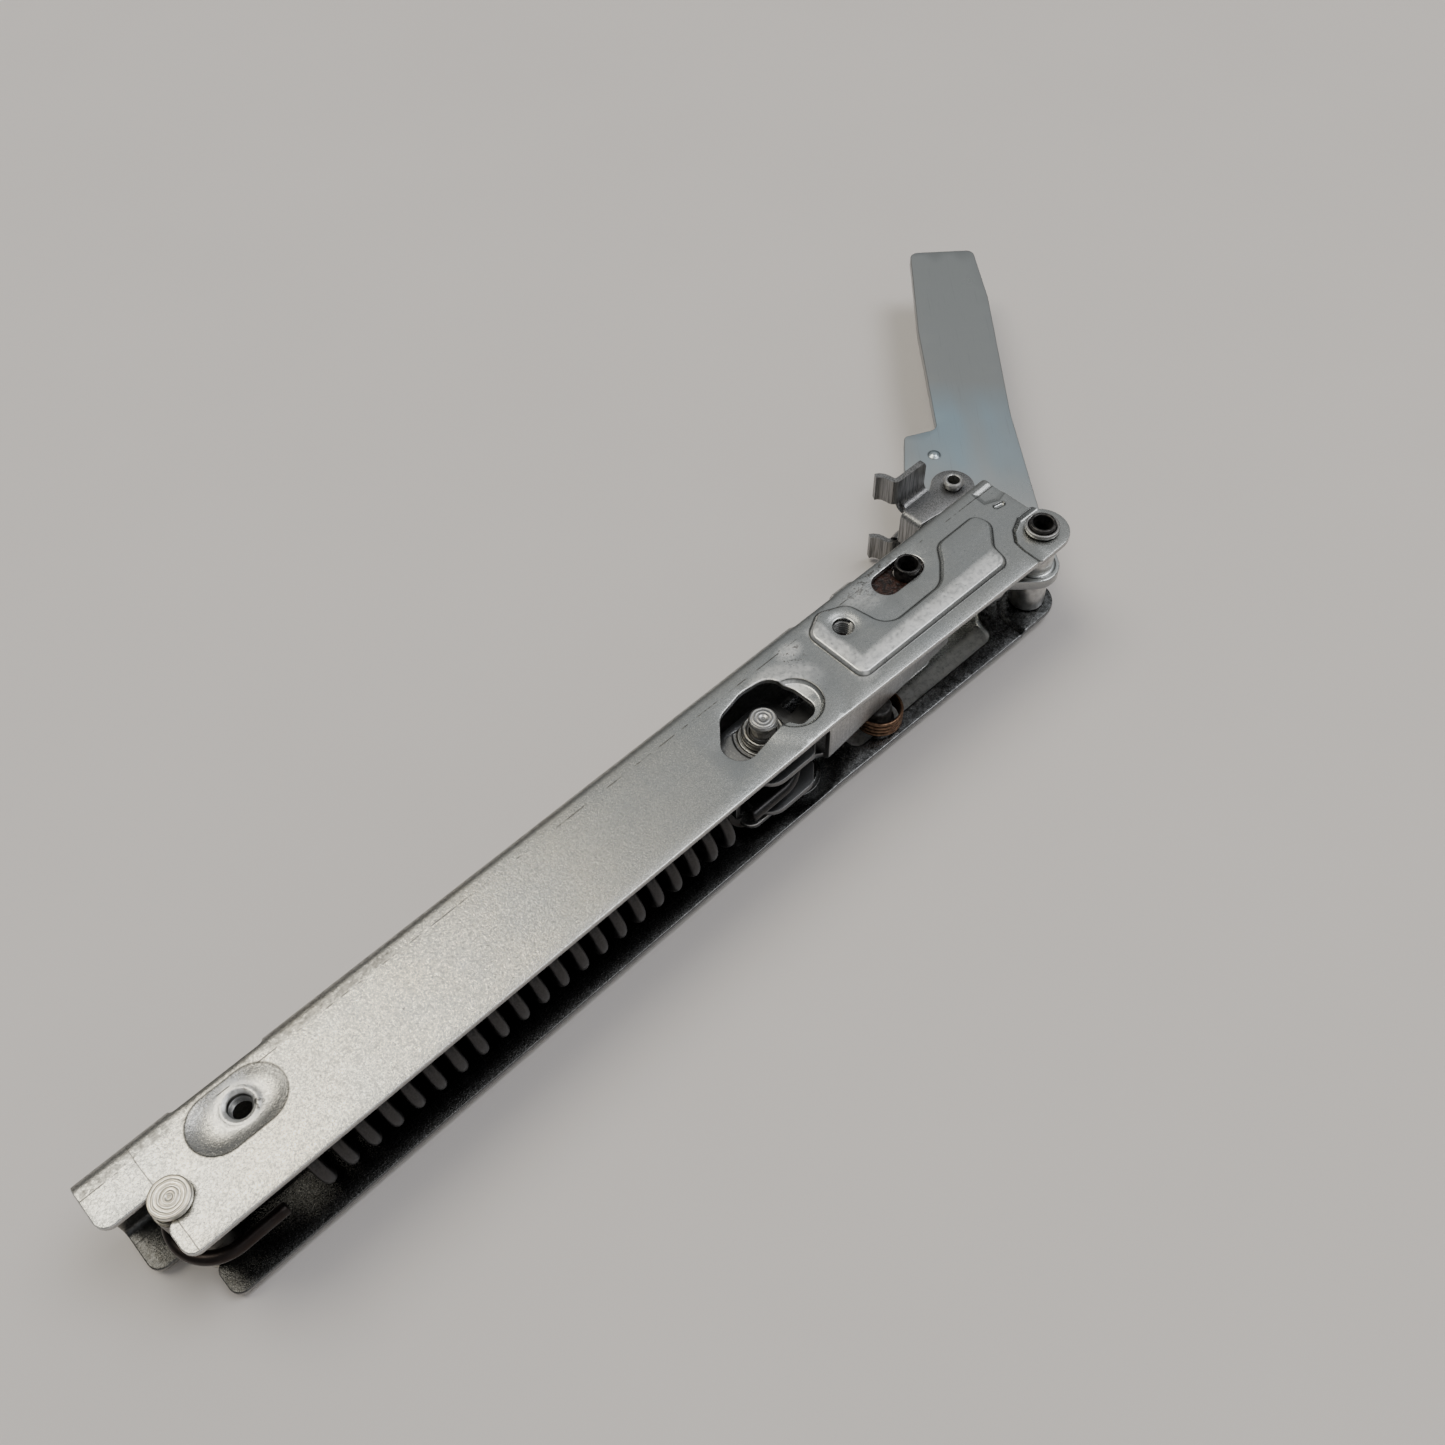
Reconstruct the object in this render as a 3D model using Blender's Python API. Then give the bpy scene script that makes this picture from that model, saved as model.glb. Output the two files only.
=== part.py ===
"""Door hinge with a sprung lever: a U-shaped housing, a door arm on a pivot, a draw link, a sliding
clevis and a long tension spring. Lengths are in millimetres until finish() turns each mesh into metres."""

import math

import bmesh
import bpy
from mathutils import Vector
from mathutils.geometry import delaunay_2d_cdt

MM = 0.001
GAP = 0.3
ROUND = 24

# Frame: the origin lies midway between the two fixing holes, on the back wall's outer face.
ORIGIN_X, ORIGIN_Y = 82.5, 17.5

# Housing: a folded sheet channel, open towards -Y.
WIDTH = 29.5
SHEET = 1.5
WEB_Y = 27.7
BEND = 3.0
BEND_Y = WEB_Y - BEND
LEFT_X, LUG_X, RIGHT_X = -31.0, -21.9, 225.2
OPEN_DROP = 1.8
NOTCHES = ((-10.3, 10.3), (156.6, 170.5))
NOTCH_Z = 23.0
WINDOW = (176.5, RIGHT_X)
PAD = 1.0
MID = WIDTH / 2

# Joint axes, all along Z.
PIVOT = (222.6, 5.2)
TAIL = (213.41, 12.91)
CAM = (132.3, 11.6)
CATCH = (225.2, 35.0)
BUFFER = (189.2, 19.6)
ANCHOR = (-18.4, 11.65)
POST = (167.0, 6.5)

# Door arm, draw link, clevis and catch: sheet thicknesses and levels.
ARM_T = 3.0
ARM_LOW, ARM_HIGH = MID - ARM_T / 2, MID + ARM_T / 2
LINK_OUT = 21.5
CLEVIS_OUT = 24.5
CATCH_OUT = 20.5
CATCH_TOP = 29.8
PIN_TOP = 31.0

# Main spring.
SPRING_Y = 11.4
COIL_R = 9.05
WIRE_R = 1.45
COILS = 21
COIL_START, COIL_END = 1.6, 115.2
GROOVE_R = 3.3
SPACER_R = 4.5
# Each hook is a full loop whose inner side pulls on its pin.
HOOK_LEFT = ANCHOR[0] - GROOVE_R - GAP + COIL_R - WIRE_R
HOOK_RIGHT = CAM[0] + SPACER_R + GAP - COIL_R + WIRE_R

STEEL = (0.62, 0.63, 0.64, 1.0)
BRIGHT = (0.74, 0.72, 0.68, 1.0)
BLUED = (0.60, 0.67, 0.72, 1.0)
BLACK = (0.03, 0.028, 0.028, 1.0)
DARK = (0.12, 0.12, 0.125, 1.0)
COPPER = (0.45, 0.25, 0.14, 1.0)


def clear_scene():
    for obj in list(bpy.data.objects):
        bpy.data.objects.remove(obj, do_unlink=True)


def material(name, colour, metallic, roughness):
    made = bpy.data.materials.new(name)
    made.use_nodes = True
    shader = made.node_tree.nodes["Principled BSDF"]
    shader.inputs["Base Color"].default_value = colour
    shader.inputs["Metallic"].default_value = metallic
    shader.inputs["Roughness"].default_value = roughness
    return made


def arc(centre, radius, start, end, steps):
    """Points on an arc, angles in degrees, both ends included."""
    turn = [math.radians(start + (end - start) * i / steps) for i in range(steps + 1)]
    return [(centre[0] + radius * math.cos(a), centre[1] + radius * math.sin(a)) for a in turn]


def circle(centre, radius, steps=ROUND):
    return arc(centre, radius, 0, 360, steps)[:-1]


def obround(a, b, radius, steps=8):
    """A slot outline round the two centres."""
    lean = math.degrees(math.atan2(b[1] - a[1], b[0] - a[0]))
    return arc(b, radius, lean - 90, lean + 90, steps) + arc(a, radius, lean + 90, lean + 270, steps)


def rounded(corners, steps=3):
    """A closed outline from (x, y, radius) corners, each replaced with an arc of that radius."""
    made = []
    for i, (x, y, radius) in enumerate(corners):
        here = Vector((x, y))
        back = Vector(corners[i - 1][:2]) - here
        ahead = Vector(corners[(i + 1) % len(corners)][:2]) - here
        if radius == 0:
            made.append((x, y))
            continue
        back.normalize()
        ahead.normalize()
        half = back.angle(ahead) / 2
        middle = here + (back + ahead).normalized() * (radius / math.sin(half))
        first = here + back * (radius / math.tan(half)) - middle
        last = here + ahead * (radius / math.tan(half)) - middle
        start = math.degrees(math.atan2(first.y, first.x))
        sweep = math.degrees(math.atan2(first.x * last.y - first.y * last.x, first.dot(last)))
        made += arc(middle, radius, start, start + sweep, steps)
    return made


def sharp(points):
    """Corners with no radius, for rounded()."""
    return [(x, y, 0) for x, y in points]


def inset(outline, distance):
    """The outline moved to its left by a distance, point for point."""
    made = []
    for i, point in enumerate(outline):
        here = Vector(point)
        before = (here - Vector(outline[i - 1])).normalized()
        after = (Vector(outline[(i + 1) % len(outline)]) - here).normalized()
        normal = Vector((-before.y - after.y, before.x + after.x)).normalized()
        lean = max(0.5, normal.dot(Vector((-after.y, after.x))))
        made.append(tuple(here + normal * (distance / lean)))
    return made


def fill(bm, z, outer, holes=(), up=True):
    """Fills an outline and its holes with triangles at one height."""
    points = []
    loops = []
    for loop in (outer, *holes):
        loops.append(list(range(len(points), len(points) + len(loop))))
        points += [Vector(p) for p in loop]
    found = delaunay_2d_cdt(points, [], loops, 2, 1e-5)
    verts = [bm.verts.new((p.x, p.y, z)) for p in found[0]]
    for face in found[2]:
        order = face if up else face[::-1]
        bm.faces.new([verts[i] for i in order])


def strip(bm, lower, upper, closed=True):
    """Quads between two rows of points with the same count."""
    rows = [[bm.verts.new(p) for p in row] for row in (lower, upper)]
    count = len(lower)
    for i in range(count if closed else count - 1):
        j = (i + 1) % count
        bm.faces.new([rows[0][i], rows[0][j], rows[1][j], rows[1][i]])


def at(z, outline):
    return [(x, y, z) for x, y in outline]


def face_out(bm):
    bmesh.ops.remove_doubles(bm, verts=bm.verts, dist=1e-3)
    bmesh.ops.recalc_face_normals(bm, faces=bm.faces)


def finish(name, bm, look, at_xy=(0.0, 0.0), parent=None, smooth=False):
    """Makes the named object, its origin on the given axis, with the mesh in metres."""
    bmesh.ops.translate(bm, verts=bm.verts, vec=(-at_xy[0], -at_xy[1], 0))
    bmesh.ops.scale(bm, verts=bm.verts, vec=(MM, MM, MM))
    mesh = bpy.data.meshes.new(name)
    bm.to_mesh(mesh)
    bm.free()
    mesh.materials.append(look)
    obj = bpy.data.objects.new(name, mesh)
    bpy.context.scene.collection.objects.link(obj)
    world = Vector(((at_xy[0] - ORIGIN_X) * MM, (at_xy[1] - ORIGIN_Y) * MM, 0))
    obj.location = world
    if parent is not None:
        obj.parent = parent
        obj.location = world - parent.location
    for polygon in mesh.polygons:
        polygon.use_smooth = smooth
    return obj


def axis_empty(name, at_xy):
    empty = bpy.data.objects.new(name, None)
    empty.location = ((at_xy[0] - ORIGIN_X) * MM, (at_xy[1] - ORIGIN_Y) * MM, 0)
    bpy.context.scene.collection.objects.link(empty)
    return empty


def plate(name, outline, holes, low, high, look, at_xy, parent=None):
    """A flat piece between two heights."""
    bm = bmesh.new()
    fill(bm, high, outline, holes)
    fill(bm, low, outline, holes, up=False)
    for loop in (outline, *holes):
        strip(bm, at(low, loop), at(high, loop))
    face_out(bm)
    return finish(name, bm, look, at_xy, parent)


def turned(name, profile, at_xy, look, parent=None, steps=ROUND):
    """A turned piece from a closed (radius, height) profile."""
    bm = bmesh.new()
    verts = [bm.verts.new((r, 0, z)) for r, z in profile]
    ends = list(zip(verts, verts[1:] + verts[:1]))
    edges = [bm.edges.new(pair) for pair in ends if pair[0].co.x > 0 or pair[1].co.x > 0]
    bmesh.ops.spin(
        bm,
        geom=verts + edges,
        cent=(0, 0, 0),
        axis=(0, 0, 1),
        angle=2 * math.pi,
        steps=steps,
        use_merge=True,
    )
    face_out(bm)
    bmesh.ops.translate(bm, verts=bm.verts, vec=(at_xy[0], at_xy[1], 0))
    obj = finish(name, bm, look, at_xy, parent, smooth=True)
    obj.data.set_sharp_from_angle(angle=math.radians(35))
    return obj


def tube(inner, outer, low, high, bevel=0.25):
    """The profile of a bored sleeve or washer with its outer edges broken."""
    side = [(outer - bevel, low), (outer, low + bevel), (outer, high - bevel), (outer - bevel, high)]
    return [(inner, low)] + side + [(inner, high)]


def both_ends(profile):
    """A profile and its mirror image about the middle plane."""
    return profile + [(r, 2 * MID - z) for r, z in profile[::-1]]


def swept(name, path, radius, sides, look, at_xy, parent=None):
    """A round wire along a path of 3-D points."""
    bm = bmesh.new()
    rings = []
    across = Vector((0, 0, 1))
    for i, point in enumerate(path):
        ahead = Vector(path[min(i + 1, len(path) - 1)]) - Vector(path[max(i - 1, 0)])
        ahead.normalize()
        across = (across - ahead * across.dot(ahead)).normalized()
        other = ahead.cross(across)
        ring = []
        for k in range(sides):
            a = 2 * math.pi * k / sides
            ring.append(bm.verts.new(Vector(point) + (across * math.cos(a) + other * math.sin(a)) * radius))
        rings.append(ring)
    for one, two in zip(rings, rings[1:]):
        for k in range(sides):
            j = (k + 1) % sides
            bm.faces.new([one[k], one[j], two[j], two[k]])
    bm.faces.new(rings[0][::-1])
    bm.faces.new(rings[-1])
    face_out(bm)
    return finish(name, bm, look, at_xy, parent, smooth=True)


def thicken(obj, thickness):
    """Sheet thickness inwards from the modelled outer surface."""
    modifier = obj.modifiers.new("sheet", "SOLIDIFY")
    modifier.thickness = thickness * MM
    modifier.offset = -1
    modifier.use_even_offset = True
    return obj


def mirrored_sheet(bm):
    """Adds the mirror image about the middle plane and makes the normals agree, outwards."""
    copy = bmesh.ops.duplicate(bm, geom=bm.verts[:] + bm.edges[:] + bm.faces[:])["geom"]
    moved = [g for g in copy if isinstance(g, bmesh.types.BMVert)]
    flipped = [g for g in copy if isinstance(g, bmesh.types.BMFace)]
    for vert in moved:
        vert.co.z = 2 * MID - vert.co.z
    bmesh.ops.reverse_faces(bm, faces=flipped)
    bmesh.ops.remove_doubles(bm, verts=bm.verts, dist=1e-3)


def open_edge(x):
    """The housing's open edge: straight, then dropping evenly towards the pivot."""
    return -OPEN_DROP * max(0.0, min(1.0, (x - 146.0) / 71.0))


def wall_breaks():
    """Where the notches and the window start and end along the bend, right to left."""
    found = {LEFT_X, RIGHT_X}
    for low, high in (*NOTCHES, WINDOW):
        found |= {low, high}
    return sorted(found, reverse=True)


def build_housing(look):
    """The channel's outer surface, one half of its width, mirrored and thickened."""
    bm = bmesh.new()
    lobe_step = [(RIGHT_X, 11.2), (220.6, 11.5), (216.4, 9.5), (213.9, 6.4), (213.1, 3.4)]
    lobe_step.append((213.0, open_edge(213.0)))
    lobe_low = [(RIGHT_X, 10.4), (220.8, 10.7), (217.0, 8.8), (214.8, 6.0), (214.1, 3.2)]
    lobe_low.append((214.0, open_edge(214.0)))
    left = [(LEFT_X, BEND_Y)]
    left += arc((LEFT_X + 3, 17.8), 3, 180, 270, 4)
    left += arc((ANCHOR[0], ANCHOR[1]), 3.2, 90, -90, 8)
    left += arc((LUG_X + 2.5, ANCHOR[1] - 5.7), 2.5, 90, 180, 3)
    left += arc((LUG_X + 2.8, 2.8), 2.8, 180, 270, 3)
    left += [(146.0, 0.0)]
    bend_line = [(x, BEND_Y) for x in wall_breaks()]
    outline = left + lobe_step[::-1] + bend_line[:-1]

    dish = obround((-4.5, 17.9), (3.2, 17.9), 6.5)
    dish_low = obround((-4.5, 17.9), (3.2, 17.9), 5.5)
    kidney = rounded(
        [
            (120.4, 5.7, 4.2),
            (130.6, 7.5, 6),
            (136.6, 8.2, 1.2),
            (138.4, 5.3, 1.8),
            (144.4, 5.6, 3),
            (143.9, 14.4, 5),
            (142.0, 19.6, 3.5),
            (134.5, 21.0, 9),
            (126.4, 19.4, 5),
            (120.3, 12.6, 4),
        ]
    )
    slot = obround((181.8, 19.7), (190.0, 19.7), 3.5)
    pad = rounded(
        [
            (156.6, 3.7, 3),
            (207.6, 3.0, 3.5),
            (208.9, 9.0, 3),
            (214.6, 14.6, 3.5),
            (213.2, 19.4, 2.5),
            (199.5, 19.4, 4),
            (195.8, 15.0, 5),
            (190.5, 10.4, 6),
            (172.4, 10.4, 5),
            (170.4, 21.6, 4),
            (163.3, 25.0, 3.5),
            (156.6, 21.6, 4),
        ]
    )
    pad_high = inset(pad, 1.1)
    hole_1 = circle((0.0, 18.5), 2.5, 20)
    hole_2 = circle((164.5, 17.5), 2.5, 20)
    pivot_hole = circle(PIVOT, 3.325 + GAP, 20)

    fill(bm, WIDTH, outline, (dish, kidney, slot, pad))
    strip(bm, at(WIDTH - PAD, dish_low), at(WIDTH, dish))
    fill(bm, WIDTH - PAD, dish_low, (hole_1,))
    strip(bm, at(WIDTH, pad), at(WIDTH + PAD, pad_high))
    fill(bm, WIDTH + PAD, pad_high, (hole_2,))
    strip(bm, at(WIDTH - 0.9, lobe_low), at(WIDTH, lobe_step), closed=False)
    lobe = arc(PIVOT, 7.0, math.degrees(math.acos((RIGHT_X - PIVOT[0]) / 7.0)), -90, 9)
    lobe_outline = [lobe_low[0]] + [p for p in lobe if p[1] < 10.2] + lobe_low[:0:-1]
    fill(bm, WIDTH - 0.9, lobe_outline, (pivot_hole,))

    turns = [math.radians(a) for a in (0, 30, 60, 90)]
    section = [(BEND_Y + BEND * math.sin(a), WIDTH - BEND + BEND * math.cos(a)) for a in turns]
    section += [(WEB_Y, NOTCH_Z), (WEB_Y, MID)]
    breaks = wall_breaks()[::-1]
    for x0, x1 in zip(breaks, breaks[1:]):
        rows = list(zip(section, section[1:]))
        if WINDOW[0] <= x0 and x1 <= WINDOW[1]:
            rows = rows[:1]
        elif any(low <= x0 and x1 <= high for low, high in NOTCHES):
            rows = [rows[0], rows[-1]]
        for (y0, z0), (y1, z1) in rows:
            corners = [(x0, y0, z0), (x1, y0, z0), (x1, y1, z1), (x0, y1, z1)]
            bm.faces.new([bm.verts.new(c) for c in corners])
    bmesh.ops.remove_doubles(bm, verts=bm.verts, dist=1e-3)
    bmesh.ops.recalc_face_normals(bm, faces=bm.faces)
    bm.faces.ensure_lookup_table()
    top = max(bm.faces, key=lambda f: f.calc_center_median().z)
    if top.normal.z < 0:
        bmesh.ops.reverse_faces(bm, faces=bm.faces)
    mirrored_sheet(bm)
    return thicken(finish("housing_channel", bm, look, (ORIGIN_X, ORIGIN_Y)), SHEET)


def folded(name, flange, holes, outer_z, fold, radius, thickness, look, at_xy, parent=None):
    """Two flanges joined by a web along one straight fold from fold[0] to fold[1]. The flange outline
    holds the two fold points, and the web stands one bend radius beyond them."""
    bm = bmesh.new()
    fill(bm, outer_z, flange, holes)
    start, end = Vector(fold[0]), Vector(fold[1])
    along = (end - start).normalized()
    out = Vector((along.y, -along.x))
    steps = 3
    turns = [math.pi / 2 * i / steps for i in range(steps + 1)]
    rows = [(radius * math.sin(a), outer_z - radius * (1 - math.cos(a))) for a in turns] + [(radius, MID)]
    for (d0, z0), (d1, z1) in zip(rows, rows[1:]):
        near, far = out * d0, out * d1
        corners = [(start + near, z0), (end + near, z0), (end + far, z1), (start + far, z1)]
        bm.faces.new([bm.verts.new((p.x, p.y, z)) for p, z in corners])
    bmesh.ops.remove_doubles(bm, verts=bm.verts, dist=1e-3)
    bmesh.ops.recalc_face_normals(bm, faces=bm.faces)
    bm.faces.ensure_lookup_table()
    top = max(bm.faces, key=lambda f: f.calc_center_median().z)
    if top.normal.z < 0:
        bmesh.ops.reverse_faces(bm, faces=bm.faces)
    mirrored_sheet(bm)
    return thicken(finish(name, bm, look, at_xy, parent), thickness)


def build_arm(look, parent):
    """The flat door arm, with the pivot eye, the tail eye, the stop lug and the tapered end."""
    far_side = [(295.0, 111.7, 1.5), (269.4, 85.7, 8), (242.2, 54.7, 3)]
    lug = [(233.6, 59.0, 1.5), (224.6, 50.9, 1.5), (216.4, 40.0, 4)]
    eyes = arc(TAIL, 6.0, 170, 230, 4) + arc(PIVOT, 6.5, 228, 318, 8)
    near_side = [(237.8, 15.5, 12), (261.1, 44.3, 30), (295.5, 81.2, 25), (309.5, 99.0, 1.5)]
    outline = rounded(far_side + lug + sharp(eyes) + near_side)
    holes = (circle(PIVOT, 3.325 + GAP), circle(TAIL, 2.5 + GAP), circle(CATCH, 2.25 + GAP, 16))
    return plate("door_arm", outline, holes, ARM_LOW, ARM_HIGH, look, PIVOT, parent)


def build_link(look, parent):
    """The draw link: two flanges from the cam pin to the tail pin, joined by a web on the open side."""
    fold = ((146.0, 5.4), (192.0, 8.5))
    upper = [(142.6, 12.8, 0), (142.6, 20.2, 5), (122.8, 20.2, 5)]
    lower = [(124.2, 1.0, 5.5), (138.4, 1.0, 3), (142.6, 4.9, 0.5), (142.6, 6.2, 0)]
    flange = rounded(upper + lower, 5) + [fold[0], fold[1], (205.0, 8.6)]
    flange += arc(TAIL, 6.0, 268, 450, 10)
    flange += [(203.5, 13.8), (147.0, 13.4)]
    eye = obround(CAM, (129.1, 14.4), 3.03 + 2.5 * GAP)
    holes = (eye, circle(TAIL, 2.5 + GAP))
    return folded("draw_link", flange, holes, LINK_OUT, fold, 2.0, SHEET, look, TAIL, parent)


def build_clevis(look, parent):
    """The clevis that slides with the cam pin: a plate on each side and a short web between them."""
    fold = ((122.0, 15.0), (122.0, 7.8))
    left, right, low, high = 120.3, 138.1, 3.5, 16.8
    lower = [(122.0, 7.8, 0), (left, 7.0, 0), (left, low, 3), (right, low, 5)]
    upper = [(right, high, 4.5), (left, high, 1), (left, 15.8, 0), (122.0, 15.0, 0)]
    holes = (circle(CAM, 3.03 + GAP),)
    flange = rounded(lower + upper, 5)
    return folded("spring_clevis", flange, holes, CLEVIS_OUT, fold, 2.0, SHEET, look, CAM, parent)


def build_catch(look, parent):
    """The catch: two plates on the rivet, a web between them, and a hooked tab standing off each plate."""
    bm = bmesh.new()
    radius = 1.8
    tab_y = 40.0
    left, right = 209.0, 219.2
    outline = [(208.2 + radius, 31.6)] + arc(CATCH, 5.8, -70, 130, 10)
    outline += [(right, tab_y - radius), (left, tab_y - radius), (208.2 + radius, 38.0)]
    fill(bm, CATCH_OUT, outline, (circle(CATCH, 2.25 + GAP, 16),))
    steps = 3
    turns = [math.pi / 2 * i / steps for i in range(steps + 1)]
    # The tab: bent up from the plate's far edge, then its left end curled away into a hook.
    bend = [(tab_y - radius + radius * math.sin(a), CATCH_OUT + radius * (1 - math.cos(a))) for a in turns]
    bend += [(tab_y, CATCH_TOP)]
    for (y0, z0), (y1, z1) in zip(bend, bend[1:]):
        corners = [(left, y0, z0), (right, y0, z0), (right, y1, z1), (left, y1, z1)]
        bm.faces.new([bm.verts.new(c) for c in corners])
    hook = [(left, tab_y)] + arc((left, tab_y + 1.9), 1.9, 250, 180, 4) + [(left - 1.9, tab_y + 4.2)]
    foot = CATCH_OUT + radius
    for (x0, y0), (x1, y1) in zip(hook, hook[1:]):
        corners = [(x0, y0, foot), (x1, y1, foot), (x1, y1, CATCH_TOP), (x0, y0, CATCH_TOP)]
        bm.faces.new([bm.verts.new(c) for c in corners])
    # The web: bent down from the plate's left edge to the middle plane.
    drop = [(208.2 + radius - radius * math.sin(a), CATCH_OUT - radius * (1 - math.cos(a))) for a in turns]
    drop += [(208.2, MID)]
    for (x0, z0), (x1, z1) in zip(drop, drop[1:]):
        corners = [(x0, 31.6, z0), (x0, 38.0, z0), (x1, 38.0, z1), (x1, 31.6, z1)]
        bm.faces.new([bm.verts.new(c) for c in corners])
    bmesh.ops.remove_doubles(bm, verts=bm.verts, dist=1e-3)
    bmesh.ops.recalc_face_normals(bm, faces=bm.faces)
    bm.faces.ensure_lookup_table()
    flat = max((f for f in bm.faces if abs(f.normal.z) > 0.99), key=lambda f: f.calc_area())
    if flat.normal.z < 0:
        bmesh.ops.reverse_faces(bm, faces=bm.faces)
    mirrored_sheet(bm)
    return thicken(finish("catch_clip", bm, look, CATCH, parent), SHEET)


def bend(start, start_way, end, end_way, reach=3.2, steps=5):
    """Points strictly between two places on a cubic curve that leaves and arrives along the given ways."""
    one = Vector(start) + Vector(start_way).normalized() * reach
    two = Vector(end) - Vector(end_way).normalized() * reach
    points = []
    for k in range(1, steps):
        t = k / steps
        outer = Vector(start) * (1 - t) ** 3 + Vector(end) * t**3
        inner = one * 3 * t * (1 - t) ** 2 + two * 3 * t * t * (1 - t)
        points.append(tuple(outer + inner))
    return points


def build_main_spring(look):
    """The tension spring, its end coils turned up into full loops round the anchor and the cam spacer."""
    per_turn = 10
    count = COILS * per_turn
    coil = []
    for i in range(1, count):
        a = 2 * math.pi * i / per_turn
        x = COIL_START + (COIL_END - COIL_START) * i / count
        coil.append((x, SPRING_Y + COIL_R * math.cos(a), MID + COIL_R * math.sin(a)))
    rise = (COIL_END - COIL_START) / COILS / (2 * math.pi * COIL_R)
    turn = 2 * math.pi / per_turn
    way_in = (-rise, math.sin(turn), -math.cos(turn))
    way_out = (rise, math.sin(turn), math.cos(turn))
    top, bottom = SPRING_Y + COIL_R, SPRING_Y - COIL_R

    left = [(-3.6, top, MID)]
    left += [(x, y, MID) for x, y in arc((HOOK_LEFT, SPRING_Y), COIL_R, 90, 270, 12)]
    left.append((-4.6, bottom, MID))
    right = [(120.4, top, MID)]
    right += [(x, y, MID) for x, y in arc((HOOK_RIGHT, SPRING_Y), COIL_R, 90, -90, 12)]
    right.append((119.8, bottom, MID))
    lead_in = bend(coil[0], way_in, left[0], (-1, 0, 0))
    lead_out = bend(coil[-1], way_out, right[0], (1, 0, 0))
    whole = left[::-1] + lead_in[::-1] + coil + lead_out + right
    return swept("main_spring", whole, WIRE_R, 6, look, ANCHOR)


def build_return_spring(look):
    """The small torsion spring on its post, with one leg along the back wall and one towards the web."""
    radius, wire, turns, per_turn = 5.0, 0.6, 4, 12
    path = [(POST[0] - 13.0, POST[1] + radius, 2.5)]
    low, pitch = 2.5, 1.12
    for i in range(turns * per_turn + 1):
        a = math.pi / 2 - 2 * math.pi * i / per_turn
        x, y = POST[0] + radius * math.cos(a), POST[1] + radius * math.sin(a)
        path.append((x, y, low + pitch * i / per_turn))
    path.append((POST[0] + 12.0, POST[1] + radius, low + pitch * turns))
    return swept("return_spring", path, wire, 5, look, POST)


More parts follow.
